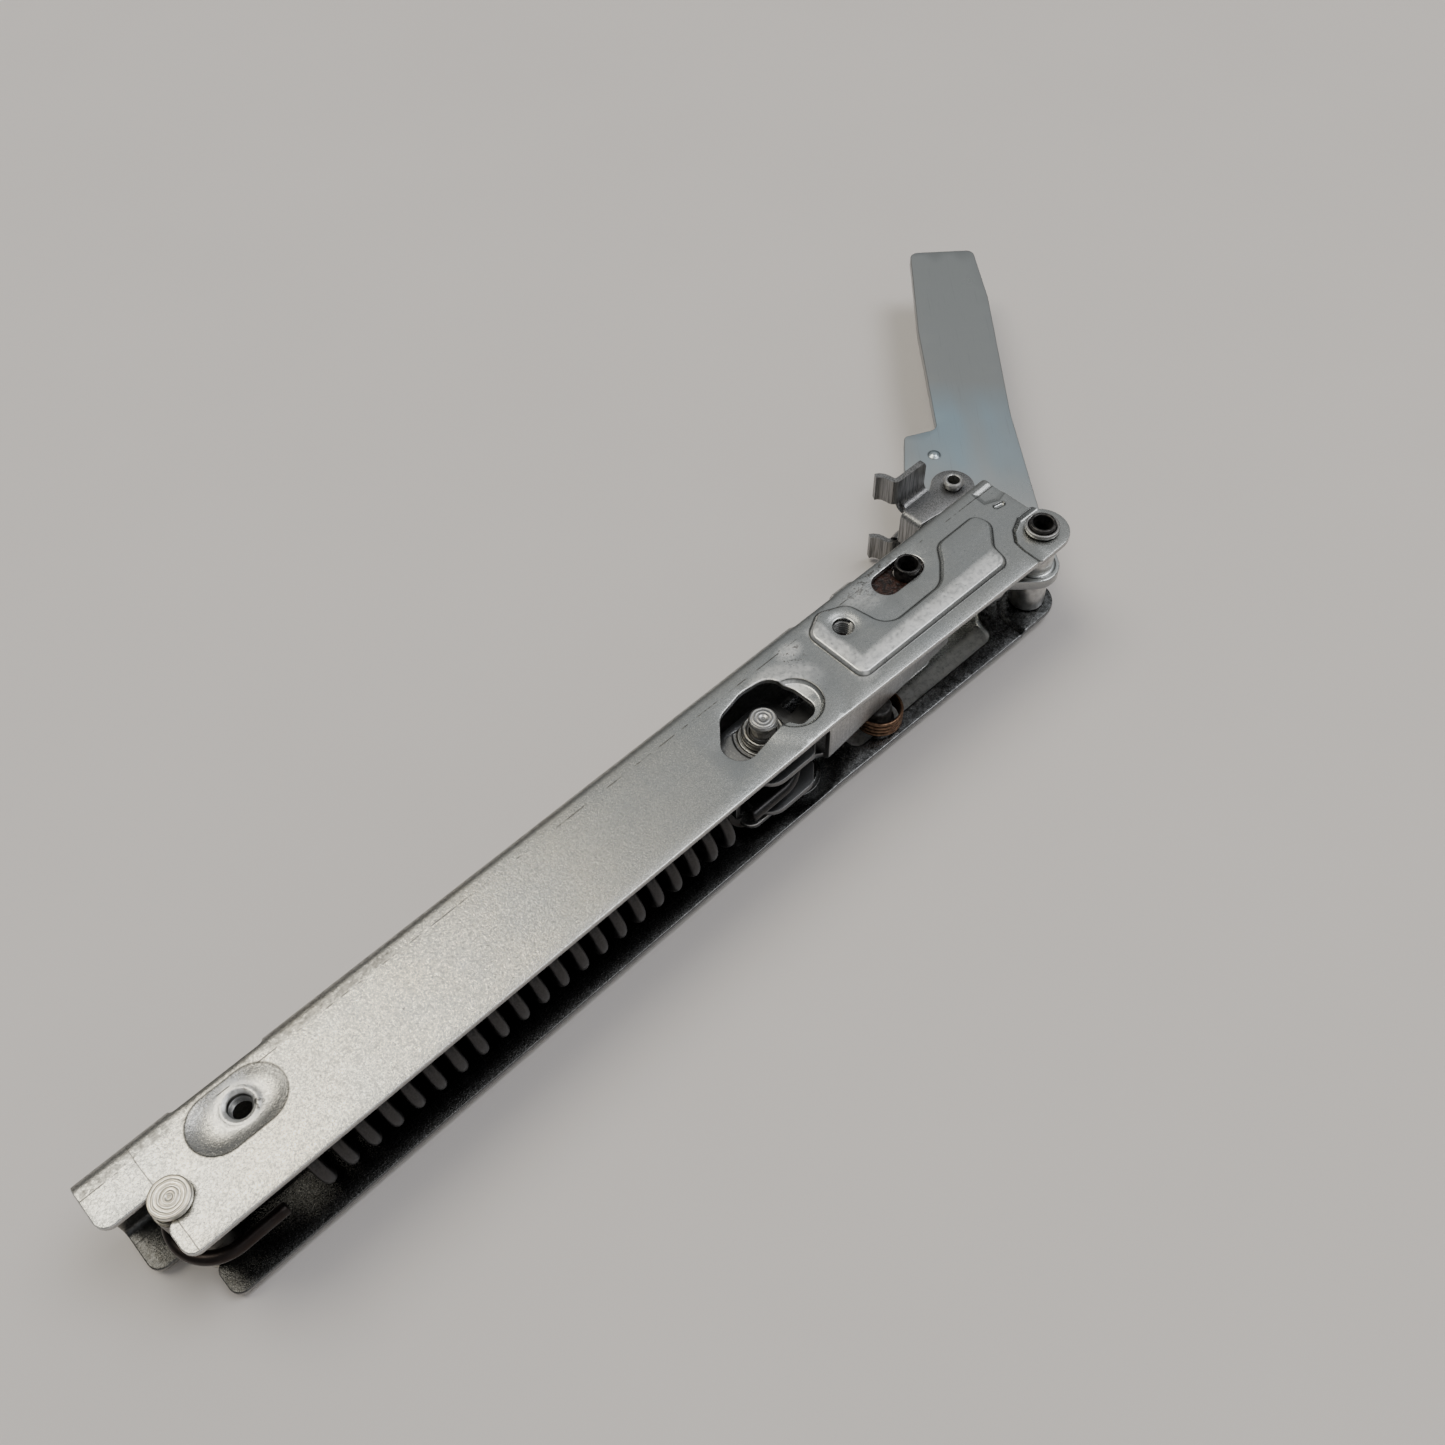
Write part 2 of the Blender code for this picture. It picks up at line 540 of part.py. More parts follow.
def main():
    clear_scene()
    steel = material("zinc_plated_steel", STEEL, 1.0, 0.42)
    bright = material("turned_bright_steel", BRIGHT, 1.0, 0.35)
    pale = material("arm_steel", BLUED, 1.0, 0.35)
    black = material("black_oxide_steel", BLACK, 0.6, 0.4)
    dark = material("spring_steel", DARK, 1.0, 0.4)
    copper = material("copper_plated_wire", COPPER, 1.0, 0.45)
    grey = material("brushed_catch_steel", STEEL, 1.0, 0.5)
    pin_steel = material("pin_steel", BRIGHT, 1.0, 0.3)

    housing = build_housing(steel)
    root_axis = axis_empty("housing_axis", (ORIGIN_X, ORIGIN_Y))
    housing.parent = root_axis
    housing.location = (0, 0, 0)

    # Pivot stack: a bored sleeve through both walls, a collar on each and a bush on each side of the arm.
    bore = 3.325 + GAP
    recess = WIDTH - 0.9
    pin_bottom = WIDTH - PIN_TOP
    collar_low, collar_high = recess + GAP, recess + 1.5
    turned("pivot_sleeve", tube(2.5, 3.325, pin_bottom, PIN_TOP, 0.4), PIVOT, black)
    turned("pivot_collar_front", tube(bore, 4.3, collar_low, collar_high), PIVOT, steel)
    turned("pivot_collar_back", tube(bore, 4.3, WIDTH - collar_high, WIDTH - collar_low), PIVOT, steel)
    inner = recess - SHEET - GAP
    turned("pivot_bush_front", tube(bore, 4.6, ARM_HIGH + GAP, inner), PIVOT, bright)
    turned("pivot_bush_back", tube(bore, 4.6, WIDTH - inner, ARM_LOW - GAP), PIVOT, bright)

    # Anchor pin: heads outside the walls, necks in the notches, shoulders inside and a groove for the hook.
    head, neck, shoulder = 4.1, 2.9, 4.5
    top, under, inside, lip = PIN_TOP, WIDTH + GAP, WIDTH - SHEET - GAP, MID + 2.6
    half = [(0, top), (head - 0.3, top), (head, top - 0.3), (head, under), (neck, under), (neck, inside)]
    half += [(shoulder, inside), (shoulder, lip), (GROOVE_R, lip)]
    turned("anchor_pin", both_ends(half), ANCHOR, bright)

    # Parts that slide with the cam pin.
    slide = axis_empty("slide_axis", CAM)
    pin_r = 3.03
    cam = [(0, PIN_TOP), (pin_r - 0.4, PIN_TOP), (pin_r, PIN_TOP - 0.4)]
    cam += [(pin_r, pin_bottom + 0.4), (pin_r - 0.4, pin_bottom), (0, pin_bottom)]
    turned("cam_pin", cam, CAM, pin_steel, slide)
    build_clevis(steel, slide)
    eye = pin_r + GAP
    washer_low = CLEVIS_OUT + GAP
    washer_high = washer_low + 1.5
    turned("cam_washer_front", tube(eye, 5.0, washer_low, washer_high), CAM, bright, slide)
    turned("cam_washer_back", tube(eye, 5.0, WIDTH - washer_high, WIDTH - washer_low), CAM, bright, slide)
    spacer = LINK_OUT - SHEET - GAP
    turned("cam_spacer", tube(eye, SPACER_R, WIDTH - spacer, spacer), CAM, dark, slide)

    # Parts that turn with the door arm.
    swing = axis_empty("arm_axis", PIVOT)
    build_arm(pale, swing)
    rivet_top = CATCH_OUT + 2.3
    rivet = [(1.4, rivet_top), (2.7, rivet_top), (3.1, rivet_top - 0.3)]
    rivet += [(3.1, CATCH_OUT + GAP), (2.25, CATCH_OUT + GAP)]
    turned("catch_rivet", both_ends(rivet), CATCH, bright, swing, 16)
    beside = ARM_HIGH + GAP
    reach = CATCH_OUT - SHEET - GAP
    bore = 2.25 + GAP
    turned("catch_spacer_front", tube(bore, 4.4, beside, reach), CATCH, steel, swing, 16)
    turned("catch_spacer_back", tube(bore, 4.4, WIDTH - reach, WIDTH - beside), CATCH, steel, swing, 16)
    tail_top = LINK_OUT + GAP + 1.2
    tail = [(0, tail_top), (3.3, tail_top), (3.6, tail_top - 0.3)]
    tail += [(3.6, LINK_OUT + GAP), (2.5, LINK_OUT + GAP)]
    turned("tail_pin", both_ends(tail), TAIL, pin_steel, swing)
    bore = 2.5 + GAP
    turned("tail_spacer_front", tube(bore, 4.4, beside, spacer), TAIL, bright, swing)
    turned("tail_spacer_back", tube(bore, 4.4, WIDTH - spacer, WIDTH - beside), TAIL, bright, swing)

    turning_catch = axis_empty("catch_axis", CATCH)
    build_catch(grey, turning_catch)
    pull = axis_empty("link_axis", TAIL)
    build_link(steel, pull)

    # Buffer sleeve in the straight slots, with a guide shoe behind each slot.
    buffer_axis = axis_empty("buffer_axis", BUFFER)
    turned("buffer_sleeve", tube(2.4, 3.15, pin_bottom, PIN_TOP, 0.4), BUFFER, black, buffer_axis)
    shoe_high = WIDTH - SHEET - GAP
    shoe_low = shoe_high - 1.2
    for name, low, high in (("front", shoe_low, shoe_high), ("back", WIDTH - shoe_high, WIDTH - shoe_low)):
        outline = obround((BUFFER[0] - 8.4, BUFFER[1]), BUFFER, 4.3)
        bore = circle(BUFFER, 3.15 + GAP)
        plate("buffer_shoe_" + name, outline, (bore,), low, high, dark, BUFFER, buffer_axis)

    post = [(0, 1.9), (4.2, 1.9), (3.9, 2.0), (3.9, 7.3), (3.5, 7.6), (0, 7.6)]
    turned("spring_post", post, POST, steel)
    build_return_spring(copper)
    build_main_spring(dark)


main()
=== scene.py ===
"""Looks for the sprung door hinge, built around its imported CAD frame.

Shapes are drawn in millimetres in the housing's own plan: x along the housing from its first fixing
hole, y from the open edge towards the web, z from the back wall's outer face. Each finished mesh is
moved into the frame in metres."""

import math

import bmesh
import bpy
import numpy as np
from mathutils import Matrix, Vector
from mathutils.geometry import delaunay_2d_cdt


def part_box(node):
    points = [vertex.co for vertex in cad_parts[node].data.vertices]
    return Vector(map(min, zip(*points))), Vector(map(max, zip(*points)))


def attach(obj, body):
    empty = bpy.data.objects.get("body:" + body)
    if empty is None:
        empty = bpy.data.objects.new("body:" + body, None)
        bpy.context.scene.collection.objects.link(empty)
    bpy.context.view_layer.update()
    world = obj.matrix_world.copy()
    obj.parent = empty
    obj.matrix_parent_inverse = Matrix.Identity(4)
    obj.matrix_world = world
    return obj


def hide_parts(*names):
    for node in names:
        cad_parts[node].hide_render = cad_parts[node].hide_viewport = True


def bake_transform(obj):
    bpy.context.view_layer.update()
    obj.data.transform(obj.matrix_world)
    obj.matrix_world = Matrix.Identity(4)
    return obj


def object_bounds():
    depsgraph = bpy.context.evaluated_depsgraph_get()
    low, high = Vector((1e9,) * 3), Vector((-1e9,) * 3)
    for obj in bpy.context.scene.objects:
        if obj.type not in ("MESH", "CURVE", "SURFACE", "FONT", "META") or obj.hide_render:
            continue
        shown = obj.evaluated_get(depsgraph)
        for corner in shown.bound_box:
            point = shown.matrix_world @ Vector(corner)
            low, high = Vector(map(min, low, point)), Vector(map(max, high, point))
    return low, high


MM = 0.001
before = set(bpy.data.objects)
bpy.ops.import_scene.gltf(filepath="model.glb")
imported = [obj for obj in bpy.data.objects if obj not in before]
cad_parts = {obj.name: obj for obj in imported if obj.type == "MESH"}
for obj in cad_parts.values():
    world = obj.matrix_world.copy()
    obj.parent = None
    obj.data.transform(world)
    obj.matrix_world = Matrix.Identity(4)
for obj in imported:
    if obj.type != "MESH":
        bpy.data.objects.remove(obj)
CAD_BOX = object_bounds()

# The housing's box gives the plan's origin and the main sizes.
LOW, HIGH = (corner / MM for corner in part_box("housing_channel"))
LEFT_X, WEB_Y, WIDTH = -31.0, 27.7, 29.5
ORIGIN = Vector((LOW.x - LEFT_X, HIGH.y - WEB_Y, 0.0))
RIGHT_X = 225.2
SHEET, BEND, PAD = 1.5, 3.0, 1.0
BEND_Y = WEB_Y - BEND
MID = WIDTH / 2
# Each notch in the bends: its start on the front bend, its start on the back bend and its end.
NOTCHES = ((-10.3, -10.3, 10.3), (156.6, 161.5, 170.5))
NOTCH_Z = 23.0


def centre_of(node):
    """A node's axis in plan millimetres."""
    low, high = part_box(node)
    middle = (low + high) / 2 / MM - ORIGIN
    return (middle.x, middle.y)


def depth_of(node):
    """A node's lowest and highest z in millimetres."""
    return [corner.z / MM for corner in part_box(node)]


PIVOT = centre_of("pivot_sleeve")
TAIL = centre_of("tail_pin")
CAM = centre_of("cam_pin")
CATCH = centre_of("catch_rivet")
BUFFER = centre_of("buffer_sleeve")
ANCHOR = centre_of("anchor_pin")
POST = centre_of("spring_post")
FIXING = ((0.0, 18.5), (164.5, 17.5))
PIN_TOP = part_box("pivot_sleeve")[1].z / MM
GROOVE_R, SPACER_R = 3.3, 4.5


# ---------------------------------------------------------------- outlines


def arc(centre, radius, start, end, steps):
    """Points on an arc, angles in degrees, both ends included."""
    turn = [math.radians(start + (end - start) * i / steps) for i in range(steps + 1)]
    return [(centre[0] + radius * math.cos(a), centre[1] + radius * math.sin(a)) for a in turn]


def circle(centre, radius, steps=48):
    return arc(centre, radius, 0, 360, steps)[:-1]


def obround(a, b, radius, steps=16):
    lean = math.degrees(math.atan2(b[1] - a[1], b[0] - a[0]))
    return arc(b, radius, lean - 90, lean + 90, steps) + arc(a, radius, lean + 90, lean + 270, steps)


def rounded(corners, steps=8):
    """A closed outline from (x, y, radius) corners, each replaced with an arc of that radius."""
    made = []
    for i, (x, y, radius) in enumerate(corners):
        if radius == 0:
            made.append((x, y))
            continue
        here = Vector((x, y))
        back = (Vector(corners[i - 1][:2]) - here).normalized()
        ahead = (Vector(corners[(i + 1) % len(corners)][:2]) - here).normalized()
        half = back.angle(ahead) / 2
        middle = here + (back + ahead).normalized() * (radius / math.sin(half))
        first = here + back * (radius / math.tan(half)) - middle
        last = here + ahead * (radius / math.tan(half)) - middle
        start = math.degrees(math.atan2(first.y, first.x))
        sweep = math.degrees(math.atan2(first.x * last.y - first.y * last.x, first.dot(last)))
        made += arc(middle, radius, start, start + sweep, steps)
    return made


def sharp(points):
    return [(x, y, 0) for x, y in points]


def signed_area(loop):
    return 0.5 * sum(a[0] * b[1] - b[0] * a[1] for a, b in zip(loop, loop[1:] + loop[:1]))


def anticlockwise(loop):
    return loop if signed_area(loop) > 0 else loop[::-1]


def clockwise(loop):
    return anticlockwise(loop)[::-1]


def spaced(loop, longest, least=0.02):
    """The closed loop with its long sides divided, and points that nearly coincide dropped."""
    made = []
    for i, point in enumerate(loop):
        here, ahead = Vector(point), Vector(loop[(i + 1) % len(loop)])
        gap = (ahead - here).length
        if gap < least:
            continue
        count = max(1, math.ceil(gap / longest))
        made += [tuple(here.lerp(ahead, k / count)) for k in range(count)]
    return made


def inset(outline, distance):
    """The loop moved to its left by a distance, point for point."""
    made = []
    for i, point in enumerate(outline):
        here = Vector(point)
        before = (here - Vector(outline[i - 1])).normalized()
        after = (Vector(outline[(i + 1) % len(outline)]) - here).normalized()
        normal = Vector((-before.y - after.y, before.x + after.x)).normalized()
        lean = max(0.6, normal.dot(Vector((-after.y, after.x))))
        made.append(tuple(here + normal * (distance / lean)))
    return made


def inside(points, loop):
    """Which points lie inside a closed loop."""
    p = np.asarray(points, float).reshape(-1, 2)
    q = np.asarray(loop, float)
    r = np.roll(q, -1, axis=0)
    found = np.zeros(len(p), bool)
    for (x0, y0), (x1, y1) in zip(q, r):
        if y0 == y1:
            continue
        crosses = (p[:, 1] >= min(y0, y1)) & (p[:, 1] < max(y0, y1))
        found ^= crosses & (p[:, 0] < x0 + (p[:, 1] - y0) * (x1 - x0) / (y1 - y0))
    return found


def distance_to(points, loop):
    """Each point's distance to a closed loop."""
    p = np.asarray(points, float).reshape(-1, 2)
    best = np.full(len(p), 1e9)
    q = np.asarray(loop, float)
    for a, b in zip(q, np.roll(q, -1, axis=0)):
        d = b - a
        t = np.clip(((p - a) @ d) / max(d @ d, 1e-12), 0, 1)
        best = np.minimum(best, np.linalg.norm(p - a - t[:, None] * d, axis=1))
    return best


# ---------------------------------------------------------------- pressed sheet


class Press:
    """One pressed feature: the sheet rises by height inside a loop, over a slope of the given width.
    Its foot and its brow are rounded over a distance each, and line is how dark its outline is painted,
    with shade and dirt in the crease."""

    LINE_WIDTH = 0.21

    def __init__(self, loop, height, slope=1.1, foot=0.22, brow=0.22, line=1.0):
        self.loop = anticlockwise(spaced(loop, 0.9))
        self.height, self.slope, self.foot, self.brow = height, slope, foot, brow
        self.line = line

    def depth(self, points):
        return distance_to(points, self.loop) * np.where(inside(points, self.loop), 1, -1)

    def crease(self, s):
        """Highest on the feature's outline, where painted shade and dirt darken the crease, and gone within
        a millimetre.
        """
        return self.line * np.exp(-((s / self.LINE_WIDTH) ** 2))

    def rise(self, s):
        w, f, b = self.slope, self.foot, self.brow
        ramp = np.clip(s / w, 0, 1)
        low = np.abs(s) < f
        ramp[low] = (s[low] + f) ** 2 / (4 * f * w)
        high = np.abs(s - w) < b
        ramp[high] = 1 - (w + b - s[high]) ** 2 / (4 * b * w)
        return self.height * ramp

    def points(self):
        """Rows of points along both edges of the slope."""
        rows = []
        w, f, b = self.slope, self.foot, self.brow
        line = (-0.5, -0.28, -0.14, 0.0, 0.14, 0.28, 0.5) if self.line > 0 else (-f, f)
        for step in line + (w / 2, w - b, w - b / 3, w + b / 3, w + b):
            rows += spaced(inset(self.loop, step), 0.45)
        return rows


class Fold:
    """Bends a flat pattern into two flanges and a web. The pattern's u runs along the fold and v across
    it: v below 0 is the front flange, then come a bend, the web, a bend and the back flange. Outside
    its ends the sheet stays flat."""

    def __init__(self, start, along, top, radius, ends=(-1e9, 1e9)):
        self.start, self.along = Vector(start), Vector(along).normalized()
        self.out = Vector((-self.along.y, self.along.x))
        self.top, self.radius, self.ends = top, radius, ends
        self.arc = self.radius * math.pi / 2
        self.total = 2 * self.arc + (2 * (top - MID) - 2 * self.radius)

    def to_pattern(self, loop):
        """Plan points as pattern points of the front flange."""
        steps = [Vector(point) - self.start for point in loop]
        return [(d.dot(self.along), d.dot(self.out)) for d in steps]

    def mirrored(self, loop):
        """Pattern points moved to the same place on the back flange."""
        return [(u, self.total - v) for u, v in loop]

    def outline(self, half):
        """The whole outline, from its front half."""
        return half + self.mirrored(half[::-1])

    def holes(self, loops):
        """Each hole in plan, cut through both flanges."""
        made = []
        for loop in loops:
            here = self.to_pattern(loop)
            made += [here, self.mirrored(here)]
        return made

    def bend_rows(self, places, steps):
        """Rows of points round both bends, at places along the fold."""
        made = []
        for k in range(steps + 1):
            v = self.arc * k / steps
            made += [(u, w) for u in places for w in (v, self.total - v)]
        return made

    def place(self, uv, height):
        """3-D points for pattern points at heights above the outer surface."""
        u, v = uv[:, 0], uv[:, 1].copy()
        back = v > self.total / 2
        v[back] = self.total - v[back]
        across, z = v.copy(), np.full(len(v), self.top) + height
        folded = (v > 0) & (u > self.ends[0]) & (u < self.ends[1])
        a = np.clip(v / self.radius, 0, math.pi / 2)
        reach = self.radius + height
        web = v > self.arc
        across = np.where(folded, np.where(web, reach, reach * np.sin(a)), across)
        bend_z = self.top - self.radius + reach * np.cos(a)
        z = np.where(folded, np.where(web, self.top - self.radius - (v - self.arc), bend_z), z)
        z = np.where(back, 2 * MID - z, z)
        x = self.start.x + self.along.x * u + self.out.x * across
        y = self.start.y + self.along.y * u + self.out.y * across
        return np.stack([x, y, z], 1)


class Flat:
    """A plate whose pattern is its plan."""

    def __init__(self, top):
        self.top = top

    def place(self, uv, height):
        return np.stack([uv[:, 0], uv[:, 1], np.full(len(uv), self.top) + height], 1)


# What a mesh's points say to its material: painted rim highlight with wear, sheared faces painted dark with
# shade, and painted shade with dirt in creases.
MARKS = ("edge", "side", "crease")

# How strong each row of a rounded rim gets the painted highlight with wear and the sheared faces' painted
# dark, from the outermost row inwards.
RIM_MARKS = ((0.2, 1.0), (1.0, 0.0), (0.7, 0.0), (0.0, 0.0))


def sheet_mesh(outline, holes, shape, thickness, presses=(), edge=0.25, longest=0.8, rows=(), mirror=None):
    """A pressed sheet with rounded edges, as points, faces and the marks that its material reads. shape
    places the pattern, and mirror is the pattern's whole width when its presses repeat on the far half."""
    loops = [anticlockwise(spaced(outline, longest))]
    loops += [clockwise(spaced(hole, longest)) for hole in holes]
    turns = [math.radians(30 * k) for k in range(len(RIM_MARKS))]
    rim = [(edge * (1 - math.cos(t)), edge * (1 - math.sin(t))) for t in turns]
    rings = [[inset(loop, depth) for depth, _ in rim] for loop in loops]

    def folded_back(uv):
        if mirror is None:
            return uv
        return np.stack([uv[:, 0], np.where(uv[:, 1] > mirror / 2, mirror - uv[:, 1], uv[:, 1])], 1)

    def height(uv):
        """How far the sheet rises at each point, and how dirty its creases are there."""
        made, crease = np.zeros(len(uv)), np.zeros(len(uv))
        for press in presses:
            depth = press.depth(folded_back(uv))
            made += press.rise(depth)
            crease = np.maximum(crease, press.crease(depth))
        return made, crease

    seeds = list(rows)
    for press in presses:
        near = press.points()
        seeds += near
        if mirror is not None:
            seeds += [(u, mirror - v) for u, v in near]
    seeds = np.asarray(seeds, float).reshape(-1, 2)
    if len(seeds):
        clear = edge + 0.2
        keep = inside(seeds, loops[0]) & (distance_to(seeds, loops[0]) > clear)
        for hole in loops[1:]:
            keep &= ~inside(seeds, hole) & (distance_to(seeds, hole) > clear)
        seeds = seeds[keep]
        seeds = seeds[np.unique(np.round(seeds / 0.09), axis=0, return_index=True)[1]]
    flat = [p for ring in rings for p in ring[-1]]
    starts = np.cumsum([0] + [len(ring[-1]) for ring in rings])
    borders = []
    for first, last in zip(starts, starts[1:]):
        borders += [(k, k + 1 if k + 1 < last else first) for k in range(first, last)]
    found = delaunay_2d_cdt([Vector(p) for p in [*flat, *seeds]], borders, [], 1, 1e-6)
    uv = np.array([tuple(p) for p in found[0]])
    triangles = np.array([f for f in found[2] if len(f) == 3])
    middles = uv[triangles].mean(1)
    keep = inside(middles, rings[0][-1])
    for ring in rings[1:]:
        keep &= ~inside(middles, ring[-1])
    triangles = triangles[keep]

    points, faces = [], []
    marks = {key: [] for key in MARKS}

    def add(uv_points, drop, edged=0.0, sheared=0.0):
        start = sum(len(p) for p in points)
        rise, crease = height(uv_points)
        points.append(shape.place(uv_points, rise - drop))
        marks["edge"].append(np.full(len(uv_points), edged))
        marks["side"].append(np.full(len(uv_points), sheared))
        marks["crease"].append(crease)
        return start

    top = add(uv, 0.0)
    bottom = add(uv, thickness)
    faces += [tuple(t + top) for t in triangles]
    faces += [tuple(t[::-1] + bottom) for t in triangles]
    for ring in rings:
        n = len(ring[0])
        upper = [(drop, loop, mark) for (_, drop), loop, mark in zip(rim, ring, RIM_MARKS)]
        lower = [(thickness - drop, loop, mark) for drop, loop, mark in upper]
        rims = [add(np.array(loop), depth, *mark) for depth, loop, mark in upper + lower]
        around = rims[: len(rim)][::-1] + rims[len(rim) :]
        for a, b in zip(around, around[1:]):
            faces += [(a + k, b + k, b + (k + 1) % n, a + (k + 1) % n) for k in range(n)]
    return np.concatenate(points), faces, {key: np.concatenate(values) for key, values in marks.items()}


# ---------------------------------------------------------------- making objects


def joined(parts):
    """Several built meshes made one."""
    points, faces, start = [], [], 0
    marks = {key: [] for key in MARKS}
    for p, f, *rest in parts:
        points.append(np.asarray(p, float))
        faces += [tuple(int(i) + start for i in face) for face in f]
        for key, values in marks.items():
            values.append(rest[0][key] if rest else np.zeros(len(p)))
        start += len(p)
    return np.concatenate(points), faces, {key: np.concatenate(values) for key, values in marks.items()}


def finish(name, body, node, look, built, sharp_at=40, blend=None):
    """Makes the piece from plan millimetres and lets it stand for its CAD node; it rides on its body, or,
    given a blend, is only baked in place.
    """
    points, faces, *marks = built
    mesh = bpy.data.meshes.new(name)
    world = (np.asarray(points, float) + np.array(ORIGIN)) * MM
    mesh.from_pydata(world.tolist(), [], [tuple(int(i) for i in f) for f in faces])
    for key, values in (marks[0] if marks else {}).items():
        mesh.attributes.new(key, "FLOAT", "POINT").data.foreach_set("value", values)
    bm = bmesh.new()
    bm.from_mesh(mesh)
    bmesh.ops.remove_doubles(bm, verts=bm.verts, dist=2e-6)
    bmesh.ops.recalc_face_normals(bm, faces=bm.faces)
    bm.to_mesh(mesh)
    bm.free()
    mesh.shade_smooth()
    mesh.set_sharp_from_angle(angle=math.radians(sharp_at))
    mesh.materials.append(look)
    obj = bpy.data.objects.new(name, mesh)
    bpy.context.scene.collection.objects.link(obj)
    if node is not None:
        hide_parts(node)
    if blend is None:
        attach(obj, body)
    else:
        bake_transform(obj)
    return obj


def lathe(profile, centre, steps=72, closed=False):
    """A turned shape from (radius, height) points: axis to axis, top to bottom, or a closed ring."""
    turn = [2 * math.pi * k / steps for k in range(steps)]
    points, faces, rows = [], [], []
    for r, z in profile:
        if r < 1e-6:
            rows.append([len(points)])
            points.append((centre[0], centre[1], z))
        else:
            rows.append(list(range(len(points), len(points) + steps)))
            points += [(centre[0] + r * math.cos(a), centre[1] + r * math.sin(a), z) for a in turn]
    pairs = list(zip(rows, rows[1:])) + ([(rows[-1], rows[0])] if closed else [])
    for one, two in pairs:
        for k in range(steps):
            j = (k + 1) % steps
            if len(one) == 1 and len(two) == 1:
                break
            if len(one) == 1:
                faces.append((one[0], two[k], two[j]))
            elif len(two) == 1:
                faces.append((one[k], two[0], one[j]))
            else:
                faces.append((one[k], two[k], two[j], one[j]))
    return points, faces


def eased(profile, radius, steps=3, closed=False):
    """The profile with each corner turned into a small arc."""
    made = []
    count = len(profile)
    for i, point in enumerate(profile):
        if not closed and i in (0, count - 1):
            made.append(point)
            continue
        here = Vector(point)
        back, ahead = Vector(profile[i - 1]) - here, Vector(profile[(i + 1) % count]) - here
        cut = min(radius, back.length / 2.5, ahead.length / 2.5)
        if cut < 0.01 or abs(back.normalized().dot(ahead.normalized())) > 0.995:
            made.append(point)
            continue
        first, last = here + back.normalized() * cut, here + ahead.normalized() * cut
        for k in range(steps + 1):
            t = k / steps
            made.append(tuple(first.lerp(here, t).lerp(here.lerp(last, t), t)))
    return made


def sleeve(inner, outer, low, high, centre, ease=0.3, steps=72):
    profile = [(inner, high), (outer, high), (outer, low), (inner, low)]
    return lathe(eased(profile, ease, closed=True), centre, steps, closed=True)


def wire_end(tip, before, radius):
    """The rings that round off a wire beyond its path, from the outermost one inwards."""
    way = (tip - before).normalized()
    made = []
    for share in (0.2, 0.6, 0.9):
        turn = share * math.pi / 2
        made.append((tip + way * radius * 0.35 * math.cos(turn), radius * math.sin(turn)))
    return made


def wire(path, radius, sides):
    """A round wire along a path, with rounded ends."""
    path = [Vector(p) for p in path]
    points, faces, rings = [], [], []
    across = Vector((0, 0, 1))
    steps = wire_end(path[0], path[1], radius) + [(p, radius) for p in path]
    steps += wire_end(path[-1], path[-2], radius)[::-1]
    for i, (point, r) in enumerate(steps):
        ahead = steps[min(i + 1, len(steps) - 1)][0] - steps[max(i - 1, 0)][0]
        ahead.normalize()
        across = (across - ahead * across.dot(ahead)).normalized()
        other = ahead.cross(across)
        rings.append(len(points))
        for k in range(sides):
            a = 2 * math.pi * k / sides
            points.append(point + (across * math.cos(a) + other * math.sin(a)) * r)
    for one, two in zip(rings, rings[1:]):
        faces += [(one + k, one + (k + 1) % sides, two + (k + 1) % sides, two + k) for k in range(sides)]
    faces.append(tuple(rings[0] + k for k in range(sides))[::-1])
    faces.append(tuple(rings[-1] + k for k in range(sides)))
    return np.array([tuple(p) for p in points]), faces


def thread(centre, bore, low, high):
    """An internal screw thread: a ridge that winds up the bore."""
    pitch, depth, steps = 0.8, 0.34, 40
    points, faces = [], []
    turns = int((high - low) / pitch)
    profile = ((0.12, -0.42), (-depth, -0.06), (-depth, 0.06), (0.12, 0.42))
    count = turns * steps
    for i in range(count + 1):
        a = 2 * math.pi * i / steps
        rise = low + pitch / 2 + (high - low - pitch) * i / count
        for r, z in profile:
            x = centre[0] + (bore + r) * math.cos(a)
            y = centre[1] + (bore + r) * math.sin(a)
            points.append((x, y, rise + z * pitch))
    width = len(profile)
    for i in range(count):
        for k in range(width):
            j = (k + 1) % width
            faces.append((i * width + k, (i + 1) * width + k, (i + 1) * width + j, i * width + j))
    faces.append(tuple(range(width))[::-1])
    faces.append(tuple(count * width + k for k in range(width)))
    return points, faces


# ---------------------------------------------------------------- materials


def rgb(r, g, b):
    return (r, g, b, 1.0)


